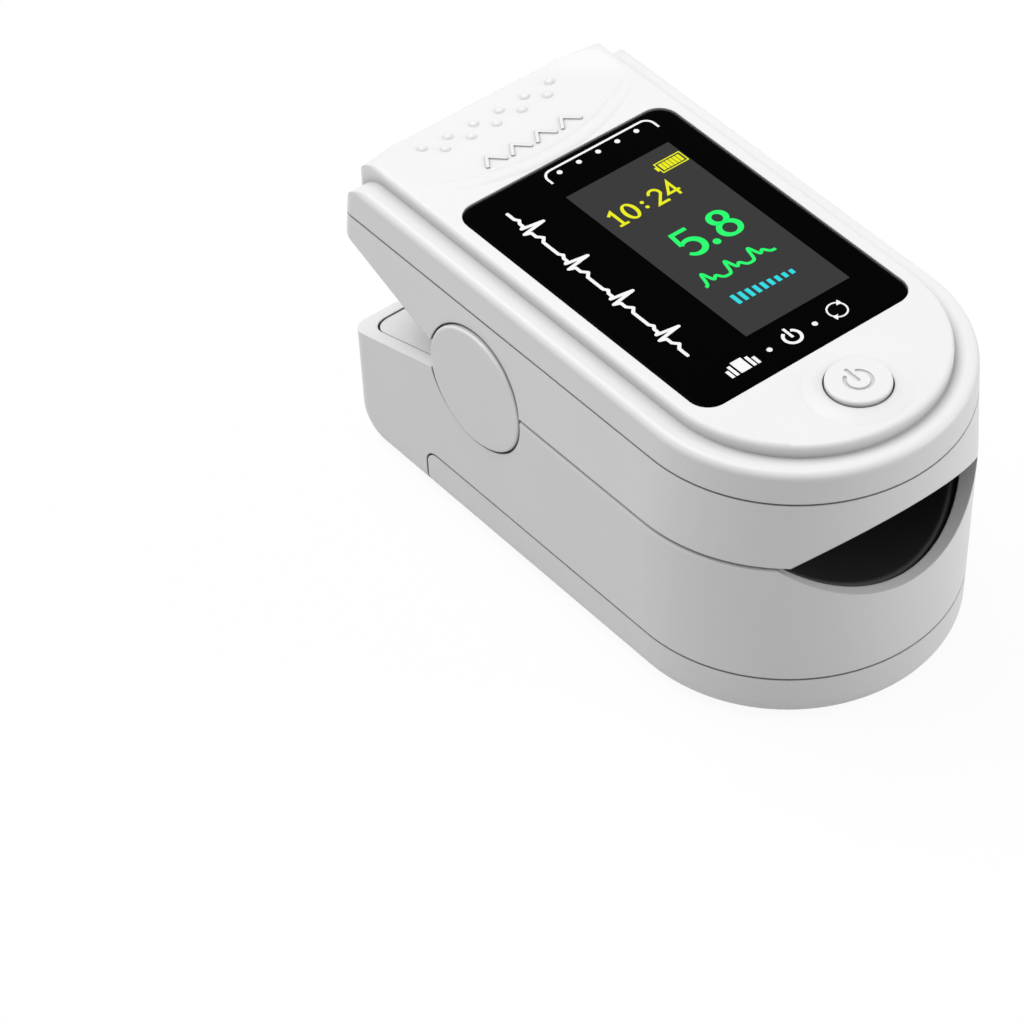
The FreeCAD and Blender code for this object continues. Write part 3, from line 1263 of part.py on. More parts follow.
lower = lower_form()
upper = upper_form()
nodes = [lower_shell(lower), lower_tray(), lower_finger_pad(), *light_sensor()]
nodes.append(battery_cell("battery_left", "-cell_pitch / 2", "left_cell_front", True))
nodes.append(battery_cell("battery_right", "cell_pitch / 2", "right_cell_front", False))
nodes.extend(contact_plates())
nodes.append(battery_spring("battery_spring_front", "cell_pitch / 2", "front_contact", True))
nodes.append(battery_spring("battery_spring_rear", "-cell_pitch / 2", "rear_contact", False))
nodes.extend([hinge_pin(), *hinge_caps()])
nodes.extend([jaw_spring("jaw_spring_left", -1), jaw_spring("jaw_spring_right", 1)])
tray_spots = four_spots("boss_front", "boss_rear", "boss_x")
nodes.append(screw_group("tray_screws", tray_spots, "tab_low - screw_head", "screw_length", True))
nodes.append(battery_cover(lower))
nodes.extend([mid_shell(upper), top_cover(upper)])
nodes.extend([display_lens(), *display_parts(), main_board(), board_chips(), *power_switch(), buzzer()])
nodes.extend([upper_finger_pad(), *light_source()])
board_spots = four_spots("post_front", "post_rear", "post_x")
board_head = "board_top + screw_head"
nodes.append(screw_group("board_screws", board_spots, board_head, "board_screw_length", False))
doc.recompute()

# Every object has to be sound before anything is written
for thing in doc.Objects:
    if "Invalid" in thing.State or "Error" in thing.State:
        raise RuntimeError(f"{thing.Label} did not build: {thing.State}")
for node in nodes:
    if node.Shape.isNull() or not node.Shape.isValid() or not node.Shape.Solids:
        raise RuntimeError(f"{node.Label} is not a sound solid")

os.makedirs("parts", exist_ok=True)
for node in nodes:
    node.Shape.exportStep(f"parts/{node.Label}.step")
    print(f"{node.Label}: {len(node.Shape.Solids)} solid, {node.Shape.Volume:.1f} mm3")
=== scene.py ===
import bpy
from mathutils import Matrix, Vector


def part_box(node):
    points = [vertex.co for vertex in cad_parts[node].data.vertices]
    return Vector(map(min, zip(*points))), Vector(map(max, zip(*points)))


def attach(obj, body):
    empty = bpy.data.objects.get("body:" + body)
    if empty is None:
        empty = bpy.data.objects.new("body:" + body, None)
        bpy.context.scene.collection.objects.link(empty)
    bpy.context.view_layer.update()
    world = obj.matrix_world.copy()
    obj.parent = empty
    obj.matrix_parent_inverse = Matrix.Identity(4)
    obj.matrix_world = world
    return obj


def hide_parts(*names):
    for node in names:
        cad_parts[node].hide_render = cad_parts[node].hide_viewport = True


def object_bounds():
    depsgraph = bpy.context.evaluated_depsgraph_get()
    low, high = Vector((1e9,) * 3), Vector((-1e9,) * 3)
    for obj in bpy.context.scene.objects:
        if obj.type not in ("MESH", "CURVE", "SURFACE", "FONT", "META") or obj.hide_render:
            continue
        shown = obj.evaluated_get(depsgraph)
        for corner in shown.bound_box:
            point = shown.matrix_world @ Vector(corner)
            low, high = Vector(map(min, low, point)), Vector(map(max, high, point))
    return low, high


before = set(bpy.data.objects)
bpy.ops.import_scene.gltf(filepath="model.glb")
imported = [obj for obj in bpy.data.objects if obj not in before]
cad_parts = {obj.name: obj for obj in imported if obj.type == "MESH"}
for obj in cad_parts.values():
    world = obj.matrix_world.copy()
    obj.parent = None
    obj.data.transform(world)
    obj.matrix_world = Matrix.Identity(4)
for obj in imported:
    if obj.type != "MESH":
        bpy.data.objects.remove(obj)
CAD_BOX = [list(corner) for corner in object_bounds()]

import math

import bmesh
import bpy
import numpy as np
from bpy.props import FloatProperty, FloatVectorProperty, IntProperty, PointerProperty
from mathutils import Matrix, Vector

bl_info = {
    "name": "Fingertip Health Monitor",
    "version": (1, 0, 0),
    "blender": (4, 5, 0),
    "location": "View3D > Sidebar > Monitor",
    "description": "Finishes, soft linings, button, prints and studio for a finger clip health monitor",
    "category": "Object",
}

MM = 0.001
FULL_TURN, QUARTER_TURN = 2.0 * math.pi, math.pi / 2.0

# Places of the carried-over solids, in metres: lowest and highest corner
LENS_LOW, LENS_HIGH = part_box("display_lens")
BUTTON_LOW, BUTTON_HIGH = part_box("power_button")
LOWER_PAD_LOW, LOWER_PAD_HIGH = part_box("lower_finger_pad")
UPPER_PAD_LOW, UPPER_PAD_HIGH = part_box("upper_finger_pad")
SENSOR_LOW, SENSOR_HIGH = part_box("sensor_window")
CELL_LOW, CELL_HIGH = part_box("battery_left")
TAIL_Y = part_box("top_cover")[1].y
EYE_Y = (SENSOR_LOW.y + SENSOR_HIGH.y) / 2.0

# Lit panel behind the lens: its limits and the pitch of its pixel rows
PANEL_LEFT, PANEL_RIGHT = -3.07 * MM, 9.09 * MM
PANEL_FRONT, PANEL_REAR = LENS_LOW.y + 5.27 * MM, LENS_HIGH.y - 4.65 * MM
PIXEL_ROW = 0.11 * MM
# Levels of the printed and lit signs, half in and half on the lens, and the step between signs that overlap
SIGN_LOW, SIGN_HIGH = LENS_HIGH.z - 0.02 * MM, LENS_HIGH.z + 0.02 * MM
LAYER = 0.004 * MM
# Depth of the lens below the top around it
LENS_SINK = 0.05 * MM
# Distances at which points are merged and slivers are dissolved
MERGE, SLIVER = 1e-7, 1e-8
# Angles in degrees above which an edge of a piece and of a cut lining stays sharp
SHARP_EDGE, SHARP_CUT = 35.0, 40.0
# Radii of the linings' fronts in plan
LOWER_NOSE, UPPER_NOSE = 14.85 * MM, 14.95 * MM
# Points of a lining: across the trough, along the face, along the back and round each bend
PAD_COLUMNS, PAD_RUN, PAD_BACK, PAD_BEND = 161, 150, 60, 13
# Points round a numeral's bowl
BOWL_POINTS = 48


def maker(kind, **fixed):
    """A maker of one kind of property, from a name, a description and a default that a user may change."""
    return lambda name, description, default: kind(name=name, description=description, default=default,
                                                   **fixed)


length = maker(FloatProperty, unit="LENGTH", precision=5)
colour = maker(FloatVectorProperty, subtype="COLOR", min=0.0, max=1.0)
position = maker(FloatVectorProperty, subtype="TRANSLATION")
share = maker(FloatProperty, subtype="FACTOR", min=0.0, max=1.0)
angle = maker(FloatProperty, subtype="ANGLE")
watts = maker(FloatProperty, unit="POWER")
amount = maker(FloatProperty, min=0.0)


class MonitorCasing(bpy.types.PropertyGroup):
    """Finish of the white mouldings."""

    white: colour("White", "Colour of the outer mouldings", (0.865, 0.865, 0.865))
    tray: colour("Tray", "Colour of the inner tray and covers", (0.865, 0.865, 0.865))
    roughness: share("Roughness", "Gloss of the satin plastic", 0.40)
    grain: length("Grain", "Size of the fine spark texture", 0.12 * MM)
    soft_edge: length("Soft edge", "Radius that breaks the light on sharp moulded edges", 0.18 * MM)
    # Reach of the painted shade: seams and hollow corners are darkened in the colour itself, not by the lamps
    painted_shade_reach: length("Crevice", "Distance over which seams and hollow corners darken", 1.2 * MM)


class MonitorPads(bpy.types.PropertyGroup):
    """Soft linings of the finger channel."""

    black: colour("Black", "Colour of the silicone", (0.006, 0.006, 0.0065))
    thickness: length("Thickness", "Thickness of both linings", 1.0 * MM)
    lower_radius: length("Lower radius", "Radius of the lower lining's upper face", 16.55 * MM)
    upper_radius: length("Upper radius", "Radius of the upper lining's lower face", 15.55 * MM)
    lip: length("Lip", "Length over which the front lip rolls down", 0.8 * MM)
    edge: length("Edge", "Width over which the side edges roll off", 1.1 * MM)
    fillet: length("Fillet", "Radius between the trough and its end wall", 1.6 * MM)
    eye: length("Eye", "Radius of the hole around each window", 2.86 * MM)
    eye_bead: length("Eye bead", "Height of the soft bead around each hole", 0.16 * MM)
    fill: share("Fill", "How tight the lining is", 0.95)


class MonitorButton(bpy.types.PropertyGroup):
    """Power button with its engraved sign."""

    radius: length("Radius", "Radius of the cap", 3.0 * MM)
    edge: length("Edge", "Radius of the cap's upper edge", 0.22 * MM)
    hollow: length("Hollow", "Depth of the shallow hollow in the cap", 0.04 * MM)
    ring: length("Ring", "Radius of the engraved ring", 1.22 * MM)
    groove: length("Groove", "Width of the engraved lines", 0.31 * MM)
    depth: length("Depth", "Depth of the engraved lines", 0.15 * MM)
    gap: angle("Gap", "Half angle of the gap in the ring", math.radians(34.0))


class MonitorDisplay(bpy.types.PropertyGroup):
    """Prints on the lens and the lit reading."""

    ink: colour("Ink", "Colour of the printed signs", (0.92, 0.92, 0.92))
    panel: colour("Panel", "Glow of the switched-on panel", (0.046, 0.046, 0.047))
    yellow: colour("Yellow", "Colour of the clock and the charge sign", (0.86, 0.87, 0.0))
    green: colour("Green", "Colour of the value and its wave", (0.009, 1.0, 0.157))
    cyan: colour("Cyan", "Colour of the progress marks", (0.02, 0.72, 0.79))
    line: length("Line", "Width of the printed lines", 0.30 * MM)
    dot: length("Dot", "Radius of the printed dots", 0.28 * MM)


class MonitorThumb(bpy.types.PropertyGroup):
    """Raised marks on the thumb rest."""

    count: IntProperty(name="Count", description="Number of arrow marks", default=4, min=1, max=9)
    pitch: length("Pitch", "Distance from mark to mark", 2.95 * MM)
    width: length("Width", "Width of one mark", 2.3 * MM)
    depth: length("Depth", "Length of one mark", 1.7 * MM)
    line: length("Line", "Width of the raised lines", 0.34 * MM)
    rise: length("Rise", "Height of the raised lines", 0.13 * MM)
    bowl: length("Bowl", "Radius of the thumb rest's hollow", 95.0 * MM)
    crease: length("Crease", "Radius of the thumb rest's edge", 22.7 * MM)
    reach: length("Reach", "Length of the thumb rest on the middle line", 12.75 * MM)
    setback: length("Setback", "Distance of the marks behind the edge", 3.45 * MM)


class MonitorStage(bpy.types.PropertyGroup):
    """Studio: floor, lamps and camera."""

    floor: colour("Floor", "Colour of the floor", (0.90, 0.90, 0.90))
    bounce: colour("Bounce", "Colour of the light that the floor throws back", (0.42, 0.42, 0.42))
    veil: share("Veil", "How much of the floor is plain white to the camera", 0.92)
    sky: amount("Sky", "Strength of the even light", 0.48)
    top: watts("Top lamp", "Power of the overhead lamp", 1.95)
    side: watts("Side lamp", "Power of the right-hand lamp", 1.25)
    rear: watts("Rear lamp", "Power of the lamp at the rear left", 0.27)
    eye: position("Eye", "Place of the camera", (-209.849 * MM, -243.620 * MM, 307.758 * MM))
    azimuth: angle("Azimuth", "Turn of the camera about the upright axis", math.radians(-37.8755))
    elevation: angle("Elevation", "Height of the camera above the horizon", math.radians(43.7724))
    roll: angle("Roll", "Turn of the camera about its own axis", math.radians(-1.6465))
    lens: amount("Lens", "Focal length in millimetres on a 36 mm frame", 166.568)


# Node trees

# Colour sockets of a Mix node
MIX_FIRST, MIX_SECOND, MIX_RESULT = 6, 7, 2
# Rays for softened edges and for the painted shade in hollows, and the share of its colour that the painted
# shade leaves deep in a hollow
EDGE_RAYS, PAINTED_SHADE_RAYS, PAINTED_SHADE_SHARE = 6, 8, 0.2
NOISE_MEAN = 0.5
UNLIT = (0.0, 0.0, 0.0, 1.0)


def add(tree, kind, **settings):
    """A shader node with its settings."""
    node = tree.nodes.new(kind)
    for key, value in settings.items():
        setattr(node, key, value)
    return node


def wire(source, target):
    """Links an output to an input, or sets the input when the source is a plain value."""
    if isinstance(source, bpy.types.NodeSocket):
        target.id_data.links.new(source, target)
    else:
        target.default_value = source


def feed(node, inputs):
    """Links or sets the inputs of a node by their labels."""
    for label, source in inputs.items():
        wire(source, node.inputs[label])
    return node


def maths(tree, operation, first, second=0.0):
    """The result of one sum on two sockets or numbers."""
    node = add(tree, "ShaderNodeMath", operation=operation)
    wire(first, node.inputs[0])
    wire(second, node.inputs[1])
    return node.outputs[0]


def ranged(tree, mask, low, span):
    """A value that rises from a low end over a span as a mask goes from 0 to 1."""
    return maths(tree, "ADD", maths(tree, "MULTIPLY", mask, span), low)


def inside(tree, value, low, high):
    """Mask that is 1 between two limits of a coordinate."""
    return maths(tree, "MULTIPLY", maths(tree, "GREATER_THAN", value, low),
                 maths(tree, "LESS_THAN", value, high))


def blended(tree, factor, first, second):
    """Mix of two colours by a mask."""
    node = feed(add(tree, "ShaderNodeMix", data_type="RGBA"), {"Factor": factor})
    wire(first, node.inputs[MIX_FIRST])
    wire(second, node.inputs[MIX_SECOND])
    return node.outputs[MIX_RESULT]


def object_place(tree):
    """The Object coordinates."""
    return add(tree, "ShaderNodeTexCoord").outputs["Object"]


def object_axes(tree):
    """The three Object coordinates as separate values."""
    split = add(tree, "ShaderNodeSeparateXYZ")
    wire(object_place(tree), split.inputs[0])
    return split.outputs


def noise(tree, scale, detail, stretch=(1.0, 1.0, 1.0)):
    """Noise on Object coordinates. A stretch below 1 draws it out along that axis."""
    mapping = feed(add(tree, "ShaderNodeMapping"), {"Vector": object_place(tree), "Scale": stretch})
    pattern = feed(add(tree, "ShaderNodeTexNoise"),
                   {"Vector": mapping.outputs[0], "Scale": scale, "Detail": detail})
    return pattern.outputs["Fac"]


def new_group(name, inputs):
    """An empty shader node group with named inputs, which puts out a colour, a roughness and a height."""
    tree = bpy.data.node_groups.new(name, "ShaderNodeTree")
    for kind, labels in (("INPUT", inputs), ("OUTPUT", ("Color", "Roughness", "Height"))):
        for label in labels:
            socket_type = "NodeSocketColor" if label in ("Color", "Tint") else "NodeSocketFloat"
            tree.interface.new_socket(label, in_out=kind, socket_type=socket_type)
    return tree, add(tree, "NodeGroupInput").outputs, add(tree, "NodeGroupOutput")


def moulded_grain():
    """Group for mouldings: fine grain sets height and gloss, a broad cloud tints the colour a little."""
    name = "moulded_grain"
    if name in bpy.data.node_groups:
        return bpy.data.node_groups[name]
    tree, source, result = new_group(name, ("Color", "Tint", "Grain", "Cloud", "Roughness", "Spread"))
    fine = noise(tree, source["Grain"], detail=3.0)
    broad = noise(tree, source["Cloud"], detail=2.0)
    swing = maths(tree, "SUBTRACT", maths(tree, "ADD", fine, broad), 2.0 * NOISE_MEAN)
    feed(result, {
        "Color": blended(tree, broad, source["Color"], source["Tint"]),
        "Roughness": ranged(tree, swing, low=source["Roughness"], span=source["Spread"]),
        "Height": fine})
    return tree


def drawn_lines():
    """Group for metal: noise drawn out along one axis gives fine lines in gloss and height."""
    name = "drawn_lines"
    if name in bpy.data.node_groups:
        return bpy.data.node_groups[name]
    tree, source, result = new_group(name, ("Color", "Tint", "Lines", "Roughness"))
    lines = noise(tree, source["Lines"], detail=2.0, stretch=(1.0, 0.06, 1.0))
    swing = maths(tree, "SUBTRACT", lines, NOISE_MEAN)
    feed(result, {
        "Color": blended(tree, lines, source["Color"], source["Tint"]),
        "Roughness": ranged(tree, swing, low=source["Roughness"], span=0.25),
        "Height": lines})
    return tree


def new_material(name):
    """A node material, its tree and its Principled BSDF."""
    material = bpy.data.materials.new(name)
    material.use_nodes = True
    tree = material.node_tree
    return material, tree, tree.nodes["Principled BSDF"]


def use_group(tree, group, **values):
    """The outputs of a placed node group with its own values."""
    return feed(add(tree, "ShaderNodeGroup", node_tree=group), values).outputs


def bumped(tree, shader, height, strength, depth, soft_edge=0.0):
    """Feeds the shader's normal from a height, on edges softened by a small radius."""
    bump = feed(add(tree, "ShaderNodeBump"),
                {"Strength": strength, "Distance": depth, "Height": height})
    if soft_edge:
        bevel = feed(add(tree, "ShaderNodeBevel", samples=EDGE_RAYS), {"Radius": soft_edge})
        wire(bevel.outputs[0], bump.inputs["Normal"])
    wire(bump.outputs[0], shader.inputs["Normal"])


def opaque(values):
    """A colour with full opacity."""
    return (*values, 1.0)


def tinted(values, factor):
    """A lighter or darker neighbour of a colour."""
    return opaque(tuple(min(1.0, value * factor) for value in values))


def moulded(name, base, roughness, grain, relief, soft_edge=0.0, painted_shade_reach=0.0, spread=0.10, cloud=90.0,
            tint=0.965):
    """Injection moulded plastic with fine grain. A painted shade reach darkens its colour in seams and hollow
    corners: painted shade from ambient occlusion.
    """
    material, tree, shader = new_material(name)
    finish = use_group(tree, moulded_grain(), Color=opaque(base), Tint=tinted(base, tint), Grain=1.0 / grain,
                       Cloud=cloud, Roughness=roughness, Spread=spread)
    shade = finish["Color"]
    if painted_shade_reach:
        # Painted shade: ambient occlusion darkens the colour in seams and hollow corners
        hollow = add(tree, "ShaderNodeAmbientOcclusion", samples=PAINTED_SHADE_RAYS)
        feed(hollow, {"Distance": painted_shade_reach})
        shade = blended(tree, hollow.outputs["AO"], tinted(base, PAINTED_SHADE_SHARE), shade)
    feed(shader, {"Base Color": shade, "Roughness": finish["Roughness"]})
    bumped(tree, shader, finish["Height"], strength=0.5, depth=relief, soft_edge=soft_edge)
    return material


def drawn_metal(name, base, roughness, lines):
    """Bare metal with drawing lines along its length."""
    material, tree, shader = new_material(name)
    finish = use_group(tree, drawn_lines(), Color=opaque(base), Tint=tinted(base, 0.82), Lines=lines,
                       Roughness=roughness)
    feed(shader, {"Base Color": finish["Color"], "Roughness": finish["Roughness"], "Metallic": 1.0})
    bumped(tree, shader, finish["Height"], strength=0.3, depth=0.01 * MM)
    return material


def clear_plastic(name):
    """Clear window with a faint smoky tint and hairline gloss changes."""
    clear, smoke = (0.78, 0.80, 0.82, 1.0), (0.70, 0.71, 0.74, 1.0)
    material, tree, shader = new_material(name)
    cloud = noise(tree, scale=260.0, detail=2.0)
    feed(shader, {
        "Base Color": blended(tree, cloud, clear, smoke),
        "Roughness": ranged(tree, cloud, low=0.03, span=0.06),
        "Transmission Weight": 1.0,
        "IOR": 1.49})
    return material


def circuit_board(name):
    """Green solder mask with lighter tracks in a grid of bricks."""
    mask, deep_mask = (0.010, 0.085, 0.030, 1.0), (0.012, 0.070, 0.028, 1.0)
    track = (0.030, 0.170, 0.055, 1.0)
    material, tree, shader = new_material(name)
    tracks = add(tree, "ShaderNodeTexBrick", offset=0.37, squash=1.6, squash_frequency=3)
    feed(tracks, {"Vector": object_place(tree), "Color1": mask, "Color2": deep_mask, "Mortar": track,
                  "Scale": 320.0, "Mortar Size": 0.035})
    grain = noise(tree, scale=2500.0, detail=2.0)
    feed(shader, {"Base Color": tracks.outputs["Color"],
                  "Roughness": ranged(tree, grain, low=0.22, span=0.2)})
    bumped(tree, shader, tracks.outputs["Fac"], strength=0.4, depth=0.03 * MM)
    return material


def cell_wrap(name):
    """Cell in a grey sleeve with one plain green band and bare steel at its ends."""
    grey, deep_grey = (0.24, 0.25, 0.27, 1.0), (0.20, 0.21, 0.23, 1.0)
    green, steel = (0.03, 0.23, 0.09, 1.0), (0.62, 0.62, 0.60, 1.0)
    front_end, rear_end, band = CELL_LOW.y + 1.6 * MM, CELL_HIGH.y - 1.6 * MM, 11.0 * MM
    material, tree, shader = new_material(name)
    along = object_axes(tree)["Y"]
    bare = maths(tree, "MAXIMUM", maths(tree, "LESS_THAN", along, front_end),
                 maths(tree, "GREATER_THAN", along, rear_end))
    ring = maths(tree, "GREATER_THAN", along, rear_end - band)
    cloud = noise(tree, scale=420.0, detail=3.0)
    sleeve = blended(tree, ring, blended(tree, cloud, grey, deep_grey), green)
    feed(shader, {
        "Base Color": blended(tree, bare, sleeve, steel),
        "Metallic": bare,
        "Roughness": ranged(tree, cloud, low=0.24, span=0.12)})
    bumped(tree, shader, cloud, strength=0.2, depth=0.02 * MM)
    return material


def row_gaps(tree, along, lit):
    """Mask of the gaps between pixel rows: 1 past the lit share of each row."""
    row = maths(tree, "FRACT", maths(tree, "MULTIPLY", along, 1.0 / PIXEL_ROW))
    return maths(tree, "GREATER_THAN", row, lit)


def black_lens(name, panel):
    """Gloss black lens. The switched-on panel shows through it as a dark grey glow with fine pixel rows."""
    black, worn_black = (0.0003, 0.0003, 0.0004, 1.0), (0.0006, 0.0006, 0.0007, 1.0)
    material, tree, shader = new_material(name)
    axes = object_axes(tree)
    window = maths(tree, "MULTIPLY", inside(tree, axes["X"], PANEL_LEFT, PANEL_RIGHT),
                   inside(tree, axes["Y"], PANEL_FRONT, PANEL_REAR))
    glow = blended(tree, row_gaps(tree, axes["Y"], lit=0.5), opaque(panel), tinted(panel, 0.93))
    smear = noise(tree, scale=160.0, detail=4.0, stretch=(1.0, 0.35, 1.0))
    feed(shader, {
        "Base Color": blended(tree, smear, black, worn_black),
        "Roughness": ranged(tree, smear, low=0.04, span=0.05),
        "Specular IOR Level": 0.008,
        "Emission Color": blended(tree, window, UNLIT, glow),
        "Emission Strength": 1.0})
    bumped(tree, shader, smear, strength=0.02, depth=0.01 * MM, soft_edge=0.08 * MM)
    return material


def silicone(name, black):
    """Matt black silicone rubber: fine skin grain and a faint bloom of dust."""
    material = moulded(name, black, roughness=0.52, grain=0.10 * MM, relief=0.012 * MM, spread=0.16,
                       cloud=140.0, tint=1.7)
    shader = material.node_tree.nodes["Principled BSDF"]
    feed(shader, {"Specular IOR Level": 0.42, "Sheen Weight": 0.06})
    return material


def lit_sign(name, glow):
    """Lit part of the panel: the colour glows, with darker lines between the pixel rows."""
    material, tree, shader = new_material(name)
    gaps = row_gaps(tree, object_axes(tree)["Y"], lit=0.8)
    feed(shader, {
        "Emission Color": blended(tree, gaps, opaque(glow), tinted(glow, 0.86)),
        "Emission Strength": 1.0,
        "Base Color": UNLIT,
        "Specular IOR Level": 0.12})
    return material


# Meshes from arrays

def closed_mesh(name, points, faces):
    """Mesh from points and lists of corners: doubles merged, slivers dissolved, faces outwards."""
    mesh = bpy.data.meshes.new(name)
    mesh.from_pydata(points.tolist(), [], faces)
    made = bmesh.new()
    made.from_mesh(mesh)
    bmesh.ops.remove_doubles(made, verts=made.verts, dist=MERGE)
    bmesh.ops.dissolve_degenerate(made, edges=made.edges, dist=SLIVER)
    bmesh.ops.recalc_face_normals(made, faces=made.faces)
    made.to_mesh(mesh)
    made.free()
    return mesh


def smoothed(mesh, degrees):
    """Smooth faces, with the edges above an angle kept sharp."""
    mesh.shade_smooth()
    mesh.set_sharp_from_angle(angle=math.radians(degrees))
    return mesh


def linked(name, data):
    """A new object in the scene."""
    made = bpy.data.objects.new(name, data)
    bpy.context.scene.collection.objects.link(made)
    return made


def new_piece(name, points, faces, body, slot, material, fans=()):
    """A closed piece from arrays of points and quads and lists of triangles, which rides on a body."""
    mesh = smoothed(closed_mesh(name, points, [*faces.tolist(), *fans]), SHARP_EDGE)
    mesh.materials.append(material)
    piece = linked(name, mesh)
    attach(piece, body)
    return piece


def joined(shapes):
    """Points and faces of several shapes as one: each shape's faces count on from the points before it."""
    all_points, all_faces = zip(*shapes)
    starts = np.cumsum([0, *map(len, all_points[:-1])])
    moved_faces = [faces + start for faces, start in zip(all_faces, starts)]
    return np.concatenate(all_points), np.concatenate(moved_faces)


def grid_faces(rows, columns, wrap_rows=False, wrap_columns=False):
    """Quads of a grid of points: each has its right, upper right and upper neighbour."""
    index = np.arange(rows * columns).reshape(rows, columns)
    if wrap_rows:
        index = np.vstack([index, index[:1]])
    if wrap_columns:
        index = np.hstack([index, index[:, :1]])
    corners = [index[:-1, :-1], index[1:, :-1], index[1:, 1:], index[:-1, 1:]]
    return np.stack(corners, axis=-1).reshape(-1, 4)


def arc(centre, radii, start, stop, count):
    """Points on a circle or an ellipse from one angle to another, in degrees."""
    turn = np.radians(np.linspace(start, stop, count))
    return np.array(centre) + np.array(radii) * np.stack([np.cos(turn), np.sin(turn)], axis=1)


def line(*points):
    """A path of straight runs."""
    return np.array(points, dtype=float)


def at_level(points, level):
    """Flat points lifted to a height, or to a height that is a function of their place."""
    height = level(points[:, 0], points[:, 1]) if callable(level) else np.full(len(points), level)
    return np.column_stack([points, height])


def ribbon(path, width, low=SIGN_LOW, high=SIGN_HIGH, closed=False):
    """Bar along a flat path. Each point gives four corners: half the width to either side, at the low and the
    high level. At a bend the sides lie on the line that halves it, so that the bar keeps its width."""
    ahead = np.roll(path, -1, axis=0) - path
    if not closed:
        ahead[-1] = ahead[-2]
    ahead /= np.linalg.norm(ahead, axis=1, keepdims=True)
    after = np.stack([-ahead[:, 1], ahead[:, 0]], axis=1)
    before = np.roll(after, 1, axis=0)
    if not closed:
        before[0] = after[0]
    halving = (before + after) / (1.0 + (before * after).sum(axis=1, keepdims=True))
    side = halving * np.reshape(width, (-1, 1)) / 2.0
    rails = [(path + side, low), (path - side, low), (path - side, high), (path + side, high)]
    corners = np.stack([at_level(points, level) for points, level in rails], axis=1)
    faces = grid_faces(len(path), 4, wrap_rows=closed, wrap_columns=True)
    if not closed:
        first = np.arange(4)
        faces = np.vstack([faces, first, first + 4 * (len(path) - 1)])
    return corners.reshape(-1, 3), faces


def turned(profile, centre, segments):
    """Profile of radius and height carried round an upright axis."""
    turn = np.linspace(0.0, FULL_TURN, segments, endpoint=False)
    radius, height = profile[:, :1], profile[:, 1:]
    points = np.stack([centre[0] + radius * np.cos(turn), centre[1] + radius * np.sin(turn),
                       np.broadcast_to(height, (len(profile), segments))], axis=-1)
    return points.reshape(-1, 3), grid_faces(len(profile), segments, wrap_columns=True)


def round_dot(centre, radius, high=SIGN_HIGH):
    """A flat printed dot with a half-round edge."""
    edge = (high - SIGN_LOW) / 2.0
    rim = arc((radius - edge, SIGN_LOW + edge), edge, -90.0, 90.0, 5)
    return turned(np.vstack([[0.0, SIGN_LOW], rim, [0.0, high]]), centre, segments=32)


# Pieces

def finger_pad(pads, outer, nose, axis_height, edge_level, low, high, upward):
    """Trough lining. A section in the plane of length and radius runs from the front lip over the soft face,
    up the end wall, down its back and home along the back face. It is turned about the channel's axis to both
    sides, where the thickness fades in an ellipse, and the front follows the round plan of the jaw."""
    full_fade, least_rise, fillet_share, crown_share = 0.998, 0.02 * MM, 0.6, 0.3
    bead_offset, bead_width = 0.45 * MM, 0.35 * MM
    thickness, edge_depth = pads.thickness, abs(edge_level - axis_height)
    reach = math.acos(edge_depth / outer)
    across = reach * np.sin(np.linspace(-QUARTER_TURN, QUARTER_TURN, PAD_COLUMNS))[:, None]
    fade = np.clip((np.abs(across) - reach) * outer / pads.edge + 1.0, 0.0, 1.0)
    depth = thickness * np.sqrt(1.0 - fade ** 2 * full_fade)
    face = outer - depth
    front = low.y + nose - np.sqrt(np.maximum(nose ** 2 - (outer * np.sin(across)) ** 2, 0.0))
    wall, rear = high.y - thickness, high.y
    top = edge_depth / np.cos(across)
    rise = np.maximum(face - top, least_rise)
    fillet = np.minimum(pads.fillet, rise * fillet_share)
    crown = np.minimum(thickness / 2.0, rise * crown_share)
    quarter = np.linspace(0.0, QUARTER_TURN, PAD_BEND)[None, :]
    half = np.linspace(QUARTER_TURN, -QUARTER_TURN, PAD_BEND)[None, :]
    along = np.linspace(0.0, 1.0, PAD_RUN)[None, 1:-1]
    back_along = np.linspace(1.0, 0.0, PAD_BACK)[None, 1:-1]
    lip_end, fillet_start = front + pads.lip, wall - fillet
    length_parts = [
        lip_end - pads.lip * np.cos(quarter),
        lip_end + (fillet_start - lip_end) * along,
        fillet_start + fillet * np.sin(quarter),
        (wall + rear) / 2.0 - (rear - wall) / 2.0 * np.sin(half),
        front + (rear - front) * back_along,
    ]
    radius_parts = [
        outer - depth * np.sin(quarter),
        face + 0.0 * along,
        face - fillet * (1.0 - np.cos(quarter)),
        top + crown * (1.0 - np.cos(half)),
        outer + 0.0 * back_along,
    ]
    y = np.hstack([part + 0.0 * across for part in length_parts])
    radius = np.hstack([part + 0.0 * across for part in radius_parts])
    from_eye = np.hypot(radius * np.sin(across), y - EYE_Y)
    bead = pads.eye_bead * np.exp(-((from_eye - pads.eye - bead_offset) / bead_width) ** 2)
    radius = np.where(radius < outer - depth / 2.0, radius - bead, radius)
    drop = radius * np.cos(across)
    z = axis_height - drop if upward else axis_height + drop
    points = np.stack([radius * np.sin(across), y, z], axis=-1)
    sections, steps = y.shape
    return points.reshape(-1, 3), grid_faces(sections, steps, wrap_columns=True), steps


def end_fans(points, steps):
    """Closes the first and the last section of a row: one middle point each, and triangles to it."""
    sections = points.reshape(-1, steps, 3)[[0, -1]]
    rings = np.arange(steps) + np.array([[0], [len(points) - steps]])
    hubs = np.broadcast_to(len(points) + np.arange(2)[:, None], (2, steps))
    fans = np.stack([hubs, rings, np.roll(rings, -1, axis=1)], axis=-1).reshape(-1, 3)
    return np.vstack([points, sections.mean(axis=1)]), fans.tolist()


